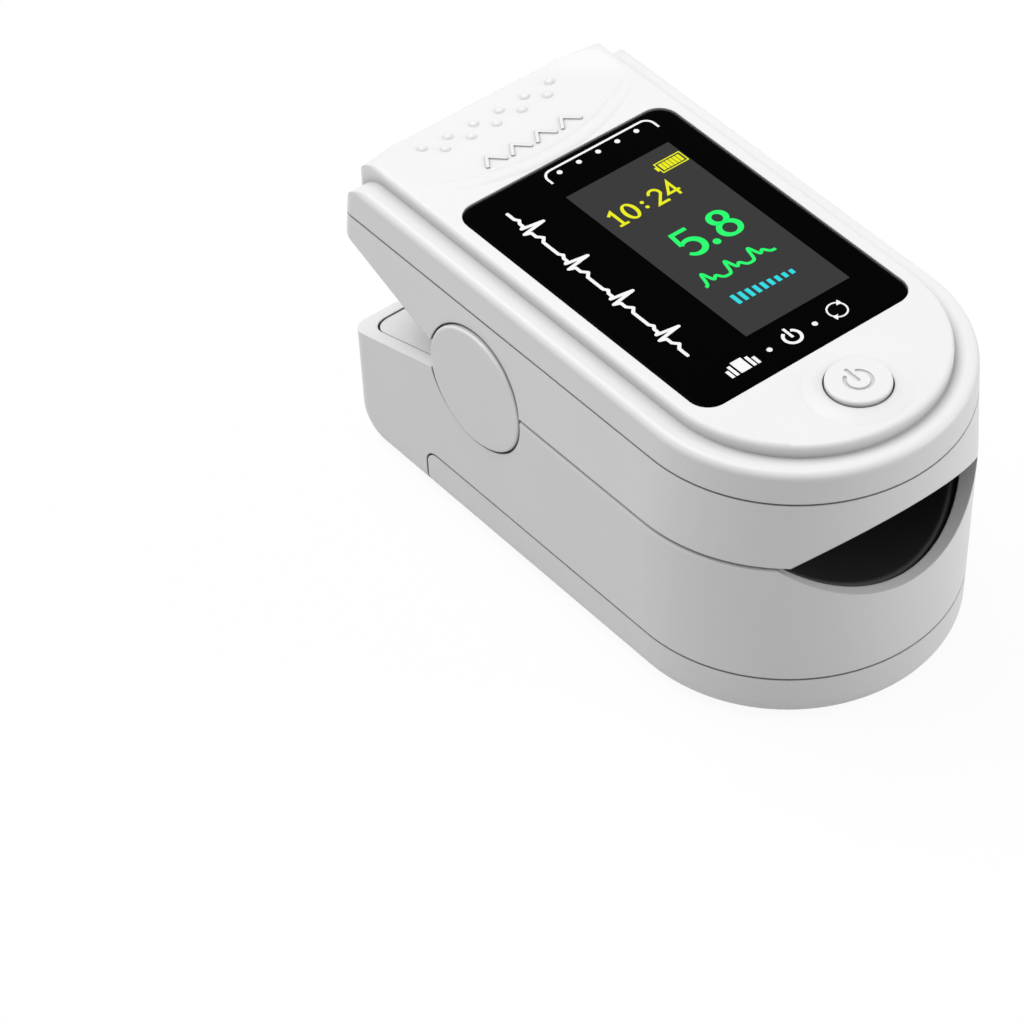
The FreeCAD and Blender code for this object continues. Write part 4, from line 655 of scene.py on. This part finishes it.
def cut_eye(piece, radius):
    """Cuts the round hole for a window through a lining: an upright cylinder is taken away from it."""
    cutter_foot, cutter_top, count = 0.0, 40.0 * MM, 96
    turn = np.linspace(0.0, FULL_TURN, count, endpoint=False)
    ring = np.stack([radius * np.cos(turn), EYE_Y + radius * np.sin(turn)], axis=1)
    points = np.vstack([at_level(ring, level) for level in (cutter_foot, cutter_top)])
    sides = grid_faces(2, count, wrap_columns=True).tolist()
    caps = [list(range(count)), list(range(count, 2 * count))]
    cutter = linked("eye_cutter", closed_mesh("eye_cutter", points, sides + caps))
    hole = piece.modifiers.new("eye", "BOOLEAN")
    hole.operation, hole.solver, hole.object = "DIFFERENCE", "MANIFOLD", cutter
    bpy.context.view_layer.update()
    finished = bpy.data.meshes.new_from_object(piece.evaluated_get(bpy.context.evaluated_depsgraph_get()))
    piece.modifiers.clear()
    piece.data = smoothed(finished, SHARP_CUT)
    bpy.data.objects.remove(cutter)


def power_sign(button, x, y):
    """Distance from the sign's lines: a ring with a gap at its rear, and a bar from the middle through it."""
    bar_share = 1.32
    bearing = np.abs(np.arctan2(x, y))
    on_ring = np.abs(np.hypot(x, y) - button.ring)
    end = np.array([math.sin(button.gap), math.cos(button.gap)]) * button.ring
    off_ring = np.hypot(np.abs(x) - end[0], y - end[1])
    ring = np.where(bearing > button.gap, on_ring, off_ring)
    bar = np.hypot(x, y - np.clip(y, 0.0, button.ring * bar_share))
    return np.minimum(ring, bar)


def button_cap(button):
    """Cap turned about its axis: flange and stem below, rounded edge above. The top is a fine polar grid that
    sinks by the groove's depth, in a smooth step, wherever the power sign's lines are nearer than half their
    width."""
    groove_blend, same_level = 0.06 * MM, 1e-6
    centre = ((BUTTON_LOW.x + BUTTON_HIGH.x) / 2.0, (BUTTON_LOW.y + BUTTON_HIGH.y) / 2.0)
    flange, stem = (BUTTON_HIGH.x - BUTTON_LOW.x) / 2.0, 1.2 * MM
    top, stem_low = BUTTON_HIGH.z, BUTTON_LOW.z
    flange_low, flange_top = stem_low + 0.85 * MM, stem_low + 1.55 * MM
    flat = button.radius - button.edge
    below = line((0.0, stem_low), (stem, stem_low), (stem, flange_low), (flange, flange_low),
                 (flange, flange_top), (button.radius, flange_top))
    edge = arc((flat, top - button.edge), button.edge, 0.0, 90.0, 9)
    rings = np.linspace(flat, 0.0, 85)[1:]
    profile = np.vstack([below, edge, np.column_stack([rings, np.full(len(rings), top)])])
    points, faces = turned(profile, centre, segments=360)
    x, y = points[:, 0] - centre[0], points[:, 1] - centre[1]
    on_top = np.abs(points[:, 2] - top) < same_level
    inwards = (button.groove / 2.0 - power_sign(button, x, y)) / groove_blend
    near = np.clip(inwards + 0.5, 0.0, 1.0)
    near = near * near * (3.0 - 2.0 * near)
    bowl = button.hollow * (1.0 - np.minimum(np.hypot(x, y) / flat, 1.0) ** 2)
    points[:, 2] -= np.where(on_top, button.depth * near + bowl, 0.0)
    return points, faces


def digit_lines(digit):
    """Lines of a numeral in a box one unit high: paths, their width at each point, and whether they close."""
    lap = 360.0 - 360.0 / BOWL_POINTS
    swell = 0.10 + 0.055 * np.abs(np.cos(np.linspace(0.0, FULL_TURN, BOWL_POINTS, endpoint=False)))
    belly = 0.09 + 0.075 * np.sin(np.linspace(0.0, math.pi, BOWL_POINTS))
    neck = arc((0.31, 0.68), (0.24, 0.26), 165.0, -20.0, 24)
    shapes = {
        "0": [(arc((0.32, 0.5), (0.25, 0.44), 0.0, lap, BOWL_POINTS), swell, True)],
        "1": [(line((0.12, 0.78), (0.34, 0.94), (0.34, 0.06)), 0.13, False),
              (line((0.12, 0.06), (0.56, 0.06)), 0.11, False)],
        "2": [(np.vstack([neck, line((0.08, 0.07), (0.58, 0.07))]), 0.12, False)],
        "4": [(line((0.46, 0.06), (0.46, 0.94), (0.06, 0.34), (0.62, 0.34)), 0.115, False)],
        "5": [(line((0.60, 0.93), (0.17, 0.93), (0.13, 0.50)), 0.11, False),
              (arc((0.34, 0.32), (0.27, 0.27), 140.0, -150.0, BOWL_POINTS), belly, False)],
        "8": [(arc((0.33, 0.735), (0.21, 0.205), 0.0, lap, BOWL_POINTS), swell, True),
              (arc((0.33, 0.29), (0.26, 0.24), 0.0, lap, BOWL_POINTS), swell, True)],
    }
    return shapes[digit]


def numeral(digit, place, size):
    """A numeral's lines as bars, set at a place with a height."""
    return [ribbon(path * size + np.array(place), np.asarray(width) * size, closed=closed)
            for path, width, closed in digit_lines(digit)]


def upright_bar(x, foot, tall, width):
    """A straight bar from a foot line to the rear."""
    return ribbon(line((x, foot), (x, foot + tall)), width)


def pulse_trace(place, size, beats, width):
    """A pulse trace down the lens: in each beat a small wave, a sharp peak between two dips and a low wave.
    It is made of straight bars with a round dot at each bend, on levels that keep their faces apart."""
    beat = line((0.16, 0.0), (0.22, 0.14), (0.28, 0.0), (0.36, 0.0), (0.39, -0.18), (0.45, 1.0),
                (0.51, -0.32), (0.55, 0.0), (0.66, 0.0), (0.74, 0.24), (0.82, 0.0))
    runs = [beat + np.array([number, 0.0]) for number in range(beats)]
    bends = np.vstack([[[0.0, 0.0]], *runs, [[beats, 0.0]]])
    path = np.column_stack([place[0] + size[0] * bends[:, 1], place[1] - size[1] * bends[:, 0] / beats])
    levels = SIGN_HIGH + LAYER * (np.arange(len(path)) % 2)
    bars = [ribbon(np.stack(ends), width, high=level) for *ends, level in zip(path[:-1], path[1:], levels)]
    return bars + [round_dot(bend, width / 2.0, SIGN_HIGH + 2.0 * LAYER) for bend in path]


def rear_bracket(width):
    """A bar across the rear of the lens with rounded corners and short legs."""
    left, right, corner = -2.75 * MM, 9.87 * MM, 0.95 * MM
    foot, top = LENS_HIGH.y - 2.43 * MM, LENS_HIGH.y - 0.78 * MM
    bends = [arc((left + corner, top - corner), corner, 180.0, 90.0, 10),
             arc((right - corner, top - corner), corner, 90.0, 0.0, 10)]
    return ribbon(np.vstack([line((left, foot)), *bends, line((right, foot))]), width)


def printed_power(row):
    """A ring with a gap at its rear and a bar through the gap."""
    radius, ring_width, bar_width = 0.84 * MM, 0.32 * MM, 0.28 * MM
    bar_foot, bar_top = row - 0.1 * MM, row + 1.28 * MM
    return [ribbon(arc((0.0, row), radius, 118.0, 422.0, 40), ring_width),
            ribbon(line((0.0, bar_foot), (0.0, bar_top)), bar_width, high=SIGN_HIGH + LAYER)]


def turning_arrows(centre):
    """Two half rings that chase each other, each with a pointed head."""
    radius, width, head_width, tip_width = 0.95 * MM, 0.17 * MM, 0.75 * MM, 0.04 * MM
    shapes = []
    for start in (35.0, 215.0):
        head = arc(centre, radius, start + 18.0, start - 14.0, 6)
        shapes += [ribbon(arc(centre, radius, start, start + 168.0, 32), width),
                   ribbon(head, np.linspace(head_width, tip_width, len(head)), high=SIGN_HIGH + LAYER)]
    return shapes


def level_bars(foot):
    """Five bars on one foot line, the middle one broad, under a round outline."""
    outline_height, outline_reach = 1.65 * MM, 1.9 * MM
    middles = np.array([-1.5, -1.0, 0.0, 1.0, 1.5]) * MM
    widths = np.array([0.34, 0.34, 1.2, 0.34, 0.34]) * MM
    heights = outline_height * np.sqrt(1.0 - (middles / outline_reach) ** 2)
    return [upright_bar(foot[0] + x, foot[1], tall, width)
            for x, tall, width in zip(middles, heights, widths)]


def lens_signs(display):
    """Printed signs around the panel: a bracket with five dots, a pulse trace along the left strip, and three
    small signs with two dots on the front strip."""
    dot_row, front_row = LENS_HIGH.y - 1.55 * MM, LENS_LOW.y + 2.64 * MM
    rear_dots = [(x, dot_row) for x in np.linspace(-1.24 * MM, 7.89 * MM, 5)]
    front_dots = [(x, front_row) for x in (-2.66 * MM, 2.63 * MM)]
    trace_place, trace_size = (-8.6 * MM, LENS_HIGH.y - 3.08 * MM), (1.9 * MM, 25.0 * MM)
    arrows_place, bars_place = (5.35 * MM, front_row + 0.1 * MM), (-5.9 * MM, front_row - 0.75 * MM)
    return joined([
        rear_bracket(display.line * 0.8),
        *(round_dot(place, display.dot) for place in rear_dots),
        *pulse_trace(trace_place, trace_size, 4, display.line * 1.15),
        *(round_dot(place, display.dot) for place in front_dots),
        *printed_power(front_row),
        *turning_arrows(arrows_place),
        *level_bars(bars_place),
    ])


def charge_sign(corner, size):
    """Outline of a cell with a tip and six full bars."""
    line_width, margin, bars, bar_share = 0.12 * MM, 0.22 * MM, 6, 0.8
    tip_reach, tip_gap, tip_width = 0.3 * MM, 0.05 * MM, 0.6 * MM
    wide, tall = size
    left, front = corner
    box = line((left, front), (left + wide, front), (left + wide, front + tall), (left, front + tall))
    middle = front + tall / 2.0
    tip = line((left - tip_reach, middle), (left - tip_gap, middle))
    pitch = (wide - 2.0 * margin) / bars
    middles = left + margin + pitch * (np.arange(bars) + 0.5)
    return [ribbon(box, line_width, closed=True), ribbon(tip, tip_width),
            *(upright_bar(x, front + margin, tall - 2.0 * margin, pitch * bar_share)
              for x in middles)]


def clock_sign(place, size):
    """A time of day in small numerals, with two dots in the blank between hours and minutes."""
    advance, dot_shift, dot_radius = 0.68 * size, 0.3 * size, 0.085 * size
    dot_heights = (0.28 * size, 0.62 * size)
    shapes = []
    for number, digit in enumerate("10 24"):
        left, front = place[0] + number * advance, place[1]
        if digit == " ":
            shapes += [round_dot((left + dot_shift, front + up), dot_radius) for up in dot_heights]
        else:
            shapes += numeral(digit, (left, front), size)
    return shapes


def value_sign(place, size):
    """The measured value in large numerals with a round point."""
    point, point_radius = (place[0] + 0.86 * size, place[1] + 0.11 * size), 0.10 * size
    second = (place[0] + 1.08 * size, place[1])
    return [*numeral("5", place, size), round_dot(point, point_radius),
            *numeral("8", second, size)]


def wave_sign(place, size):
    """A rounded pulse wave: each beat is a steep bell followed by a lower, wider one."""
    beats, width, second_height = 3.0, 0.32 * MM, 0.42
    along = np.linspace(0.0, 1.0, 260)
    phase = (along * beats) % 1.0
    height = np.exp(-((phase - 0.30) / 0.12) ** 2) + second_height * np.exp(-((phase - 0.62) / 0.13) ** 2)
    path = np.column_stack([place[0] + size[0] * along, place[1] + size[1] * height])
    return [ribbon(path, width)]


def progress_sign(place):
    """A row of short marks that fade in height from the left."""
    count, pitch, width, tallest, last_share = 9, 0.78 * MM, 0.42 * MM, 1.35 * MM, 0.45
    heights = tallest * np.linspace(1.0, last_share, count)
    return [upright_bar(place[0] + number * pitch, place[1], tall, width)
            for number, tall in enumerate(heights)]


def bowl_level(thumb, lift):
    """Height of the thumb rest's hollow at a place, plus a lift: a sphere through the edge circle."""
    middle = TAIL_Y - thumb.reach + thumb.crease
    sphere = LENS_HIGH.z + LENS_SINK + math.sqrt(thumb.bowl ** 2 - thumb.crease ** 2)
    return lambda x, y: sphere - np.sqrt(thumb.bowl ** 2 - x ** 2 - (y - middle) ** 2) + lift


def arrow_marks(thumb):
    """A row of arrow heads that follow the hollow, half sunk and half raised."""
    front = TAIL_Y - thumb.reach + thumb.setback
    half, foot, tip = thumb.width / 2.0, front - thumb.depth / 2.0, front + thumb.depth / 2.0
    low, high = bowl_level(thumb, -thumb.rise), bowl_level(thumb, thumb.rise)
    middles = (np.arange(thumb.count) - (thumb.count - 1) / 2.0) * thumb.pitch
    return joined([ribbon(line((x - half, foot), (x, tip), (x + half, foot)), thumb.line, low, high)
                   for x in middles])


def paint_slot(slot_name, material):
    """Gives a finish to every carried-over solid of a material slot."""
    found = [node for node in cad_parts.values()
             if any(slot.material.name.split(".")[0] == slot_name for slot in node.material_slots)]
    if not found:
        raise RuntimeError(f"no solid has the material slot {slot_name}")
    for node in found:
        for slot in node.material_slots:
            slot.material = material


class MONITOR_OT_casing(bpy.types.Operator):
    """Finish the white mouldings: shells, covers, tray and hinge caps"""

    bl_idname = "monitor.casing"
    bl_label = "Casing Finish"

    def execute(self, context):
        casing = context.scene.monitor_casing
        # The mouldings get painted shade in their seams and hollow corners
        shared = {"grain": casing.grain, "soft_edge": casing.soft_edge, "painted_shade_reach": casing.painted_shade_reach}
        tray_gloss = casing.roughness + 0.06
        paint_slot("white_casing",
                   moulded("casing_white", casing.white, casing.roughness, relief=0.004 * MM, **shared))
        paint_slot("tray_plastic",
                   moulded("tray_white", casing.tray, tray_gloss, relief=0.006 * MM, **shared))
        return {"FINISHED"}


class MONITOR_OT_inner_parts(bpy.types.Operator):
    """Finish boards, chips, cells, springs, pins and contacts"""

    bl_idname = "monitor.inner_parts"
    bl_label = "Inner Parts Finish"

    def execute(self, context):
        steel, nickel = (0.56, 0.57, 0.58), (0.70, 0.68, 0.62)
        epoxy, grey, glass = (0.018, 0.018, 0.020), (0.30, 0.31, 0.33), (0.02, 0.02, 0.022)
        finishes = {
            "circuit_board": circuit_board("board_green"),
            "cell_wrap": cell_wrap("cell_sleeve"),
            "steel": drawn_metal("spring_steel", steel, roughness=0.28, lines=2200.0),
            "contact_metal": drawn_metal("contact_nickel", nickel, roughness=0.24, lines=1800.0),
            "black_component": moulded("chip_epoxy", epoxy, roughness=0.55, grain=0.08 * MM,
                                       relief=0.01 * MM, tint=1.5),
            "frame_plastic": moulded("frame_grey", grey, roughness=0.45, grain=0.10 * MM, relief=0.008 * MM),
            "display_panel": moulded("panel_glass", glass, roughness=0.15, grain=0.10 * MM,
                                     relief=0.002 * MM, tint=1.3),
            "clear_window": clear_plastic("window_clear"),
        }
        for slot_name, finish in finishes.items():
            paint_slot(slot_name, finish)
        return {"FINISHED"}


class MONITOR_OT_lens(bpy.types.Operator):
    """Finish the black lens and the panel that glows behind it"""

    bl_idname = "monitor.lens"
    bl_label = "Lens Finish"

    def execute(self, context):
        paint_slot("black_lens", black_lens("lens_black", context.scene.monitor_display.panel))
        return {"FINISHED"}


class MONITOR_OT_finger_pads(bpy.types.Operator):
    """Build the two soft linings of the finger channel"""

    bl_idname = "monitor.finger_pads"
    bl_label = "Finger Pads"

    def execute(self, context):
        pads = context.scene.monitor_pads
        finish = silicone("silicone_black", pads.black)
        lower_outer, upper_outer = pads.lower_radius + pads.thickness, pads.upper_radius + pads.thickness
        lower_edge, upper_edge = LOWER_PAD_HIGH.z - 0.15 * MM, UPPER_PAD_LOW.z + 0.05 * MM
        builds = (
            ("finger_pad_lower", "lower_finger_pad", "lower_jaw",
             (lower_outer, LOWER_NOSE, LOWER_PAD_LOW.z + lower_outer, lower_edge,
              LOWER_PAD_LOW, LOWER_PAD_HIGH, True)),
            ("finger_pad_upper", "upper_finger_pad", "upper_jaw",
             (upper_outer, UPPER_NOSE, UPPER_PAD_HIGH.z - upper_outer, upper_edge,
              UPPER_PAD_LOW, UPPER_PAD_HIGH, False)),
        )
        for name, node, body, shape in builds:
            points, faces, steps = finger_pad(pads, *shape)
            points, fans = end_fans(points, steps)
            pad = new_piece(name, points, faces, body, "black_silicone", finish, fans)
            cut_eye(pad, pads.eye)
            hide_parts(node)
        return {"FINISHED"}


class MONITOR_OT_power_button(bpy.types.Operator):
    """Build the button cap with its engraved power sign"""

    bl_idname = "monitor.power_button"
    bl_label = "Power Button"

    def execute(self, context):
        casing, button = context.scene.monitor_casing, context.scene.monitor_button
        # The button gets painted shade in its gap and grooves, over half the reach
        gloss, painted_shade_reach = casing.roughness - 0.04, casing.painted_shade_reach / 2.0
        finish = moulded("button_white", casing.white, gloss, casing.grain, relief=0.003 * MM,
                         painted_shade_reach=painted_shade_reach)
        cap = new_piece("button_cap", *button_cap(button), "power_button", "white_button", finish)
        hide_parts("power_button")
        return {"FINISHED"}


class MONITOR_OT_lens_prints(bpy.types.Operator):
    """Print the white signs on the lens"""

    bl_idname = "monitor.lens_prints"
    bl_label = "Lens Prints"

    def execute(self, context):
        display = context.scene.monitor_display
        ink = moulded("print_ink", display.ink, roughness=0.35, grain=0.06 * MM, relief=0.001 * MM, tint=0.94)
        new_piece("lens_prints", *lens_signs(display), "upper_jaw", "display_panel", ink)
        return {"FINISHED"}


class MONITOR_OT_reading(bpy.types.Operator):
    """Light the reading: charge sign, clock, value, wave and progress marks"""

    bl_idname = "monitor.reading"
    bl_label = "Lit Reading"

    def execute(self, context):
        display = context.scene.monitor_display
        front, rear = LENS_LOW.y, LENS_HIGH.y
        charge_place, charge_size = (5.95 * MM, rear - 7.73 * MM), (2.95 * MM, 1.4 * MM)
        clock_place, clock_height = (-2.2 * MM, rear - 11.13 * MM), 2.35 * MM
        value_place, value_height = (0.0, front + 16.19 * MM), 3.9 * MM
        wave_place, wave_size = (-1.5 * MM, front + 12.49 * MM), (8.2 * MM, 1.6 * MM)
        progress_place = (-0.5 * MM, front + 8.89 * MM)
        yellow, green, cyan = (lit_sign(f"lit_{name}", getattr(display, name))
                               for name in ("yellow", "green", "cyan"))
        signs = (
            ("lit_charge", charge_sign(charge_place, charge_size), yellow),
            ("lit_clock", clock_sign(clock_place, clock_height), yellow),
            ("lit_value", value_sign(value_place, value_height), green),
            ("lit_wave", wave_sign(wave_place, wave_size), green),
            ("lit_progress", progress_sign(progress_place), cyan),
        )
        for name, shapes, finish in signs:
            new_piece(name, *joined(shapes), "upper_jaw", "display_panel", finish)
        return {"FINISHED"}


class MONITOR_OT_thumb_marks(bpy.types.Operator):
    """Raise the row of arrow marks on the thumb rest"""

    bl_idname = "monitor.thumb_marks"
    bl_label = "Thumb Marks"

    def execute(self, context):
        casing, thumb = context.scene.monitor_casing, context.scene.monitor_thumb
        # The marks get painted shade where they meet the thumb rest
        finish = moulded("mark_white", casing.white, casing.roughness, casing.grain, relief=0.004 * MM,
                         soft_edge=casing.soft_edge, painted_shade_reach=casing.painted_shade_reach)
        new_piece("thumb_marks", *arrow_marks(thumb), "upper_jaw", "white_casing", finish)
        return {"FINISHED"}


# Studio

def lamp(name, place, target, size, power):
    """A square soft lamp that faces a target."""
    data = bpy.data.lights.new(name, "AREA")
    data.shape, data.size, data.energy = "SQUARE", size, power
    made = linked(name, data)
    made.location = place
    made.rotation_mode = "QUATERNION"
    made.rotation_quaternion = (Vector(target) - Vector(place)).to_track_quat("-Z", "Y")


def seen_directly(tree):
    """Mask of the rays that see the background itself, in gloss and glass as well."""
    path = add(tree, "ShaderNodeLightPath").outputs
    seen = maths(tree, "MAXIMUM", path["Is Camera Ray"], path["Is Glossy Ray"])
    return maths(tree, "MAXIMUM", seen, path["Is Transmission Ray"])


def floor_material(stage):
    """Matt floor with a faint cloud. Most of what is seen of it is plain white, the rest keeps the shadow."""
    material, tree, shader = new_material("studio_floor")
    seen = seen_directly(tree)
    cloud = noise(tree, scale=6.0, detail=2.0)
    shade = blended(tree, cloud, opaque(stage.floor), tinted(stage.floor, 0.99))
    feed(shader, {"Base Color": blended(tree, seen, opaque(stage.bounce), shade), "Roughness": 0.9,
                  "Specular IOR Level": 0.0})
    white = feed(add(tree, "ShaderNodeEmission"), {"Strength": 1.01})
    mix = add(tree, "ShaderNodeMixShader")
    sources = (maths(tree, "MULTIPLY", seen, stage.veil), shader.outputs[0], white.outputs[0])
    for source, target in zip(sources, mix.inputs):
        wire(source, target)
    wire(mix.outputs[0], tree.nodes["Material Output"].inputs["Surface"])
    return material


def floor_sheet(stage):
    """A flat square grid of points just under the object."""
    half, steps, drop = 2.0, 9, 0.02 * MM
    x, y = np.meshgrid(np.linspace(-half, half, steps), np.linspace(-half, half, steps), indexing="ij")
    points = np.stack([x, y, np.full_like(x, CAD_BOX[0][2] - drop)], axis=-1).reshape(-1, 3)
    mesh = bpy.data.meshes.new("floor")
    mesh.from_pydata(points.tolist(), [], grid_faces(steps, steps).tolist())
    mesh.materials.append(floor_material(stage))
    return linked("floor", mesh)


def studio_world(stage):
    """Even light all round, white where it is seen itself."""
    world = bpy.data.worlds.new("studio_world")
    world.use_nodes = True
    tree = world.node_tree
    strength = ranged(tree, seen_directly(tree), low=stage.sky, span=1.0 - stage.sky)
    feed(tree.nodes["Background"], {"Strength": strength, "Color": (1.0, 1.0, 1.0, 1.0)})
    return world


def place_camera(stage):
    """Camera from its place and three turns: the view axis, then the turn about it."""
    back = Vector((math.sin(stage.azimuth) * math.cos(stage.elevation),
                   -math.cos(stage.azimuth) * math.cos(stage.elevation), math.sin(stage.elevation)))
    right = Vector((0.0, 0.0, 1.0)).cross(back).normalized()
    up = back.cross(right)
    cosine, sine = math.cos(stage.roll), math.sin(stage.roll)
    columns = (right * cosine + up * sine, up * cosine - right * sine, back)
    data = bpy.data.cameras.new("camera")
    data.lens, data.sensor_width = stage.lens, 36.0
    data.clip_start, data.clip_end = 0.01, 20.0
    camera = linked("camera", data)
    camera.matrix_world = Matrix.Translation(stage.eye) @ Matrix(columns).transposed().to_4x4()
    return camera


class MONITOR_OT_stage(bpy.types.Operator):
    """Set up the floor, the lamps and the camera"""

    bl_idname = "monitor.stage"
    bl_label = "Studio"

    def execute(self, context):
        scene, stage = context.scene, context.scene.monitor_stage
        scene.view_settings.view_transform = "Standard"
        scene.world = studio_world(stage)
        floor = floor_sheet(stage)
        lamp("lamp_top", place=(-0.08, 0.24, 0.55), target=(0.0, 0.0, 0.02), size=0.38, power=stage.top)
        lamp("lamp_rear", place=(-0.52, 0.25, 0.22), target=(0.0, 0.02, 0.02), size=0.35, power=stage.rear)
        lamp("lamp_right", place=(0.45, -0.40, 0.25), target=(0.0, -0.02, 0.02), size=0.35, power=stage.side)
        scene.camera = place_camera(stage)
        return {"FINISHED"}


OPERATORS = (MONITOR_OT_casing, MONITOR_OT_inner_parts, MONITOR_OT_lens, MONITOR_OT_finger_pads,
             MONITOR_OT_power_button, MONITOR_OT_lens_prints, MONITOR_OT_reading, MONITOR_OT_thumb_marks,
             MONITOR_OT_stage)
GROUPS = {"monitor_casing": MonitorCasing, "monitor_pads": MonitorPads, "monitor_button": MonitorButton,
          "monitor_display": MonitorDisplay, "monitor_thumb": MonitorThumb, "monitor_stage": MonitorStage}


class MONITOR_PT_panel(bpy.types.Panel):
    """Sizes and colours of the monitor, with the button that builds each group"""

    bl_idname = "MONITOR_PT_panel"
    bl_label = "Fingertip Health Monitor"
    bl_space_type = "VIEW_3D"
    bl_region_type = "UI"
    bl_category = "Monitor"

    def draw(self, context):
        for name, group in GROUPS.items():
            box = self.layout.box()
            box.label(text=group.__doc__)
            for key in group.__annotations__:
                box.prop(getattr(context.scene, name), key)
        for operator in OPERATORS:
            self.layout.operator(operator.bl_idname)


CLASSES = (*GROUPS.values(), *OPERATORS, MONITOR_PT_panel)


def register():
    """Makes the classes known to Blender and hangs the sizes on the scene."""
    for cls in CLASSES:
        bpy.utils.register_class(cls)
    for name, group in GROUPS.items():
        setattr(bpy.types.Scene, name, PointerProperty(type=group))


def unregister():
    """Takes the sizes off the scene and the classes out of Blender."""
    for name in GROUPS:
        delattr(bpy.types.Scene, name)
    for cls in reversed(CLASSES):
        bpy.utils.unregister_class(cls)


def main():
    """Builds everything in order."""
    register()
    for operator in OPERATORS:
        group, name = operator.bl_idname.split(".")
        getattr(getattr(bpy.ops, group), name)()


if __name__ == "__main__":
    main()
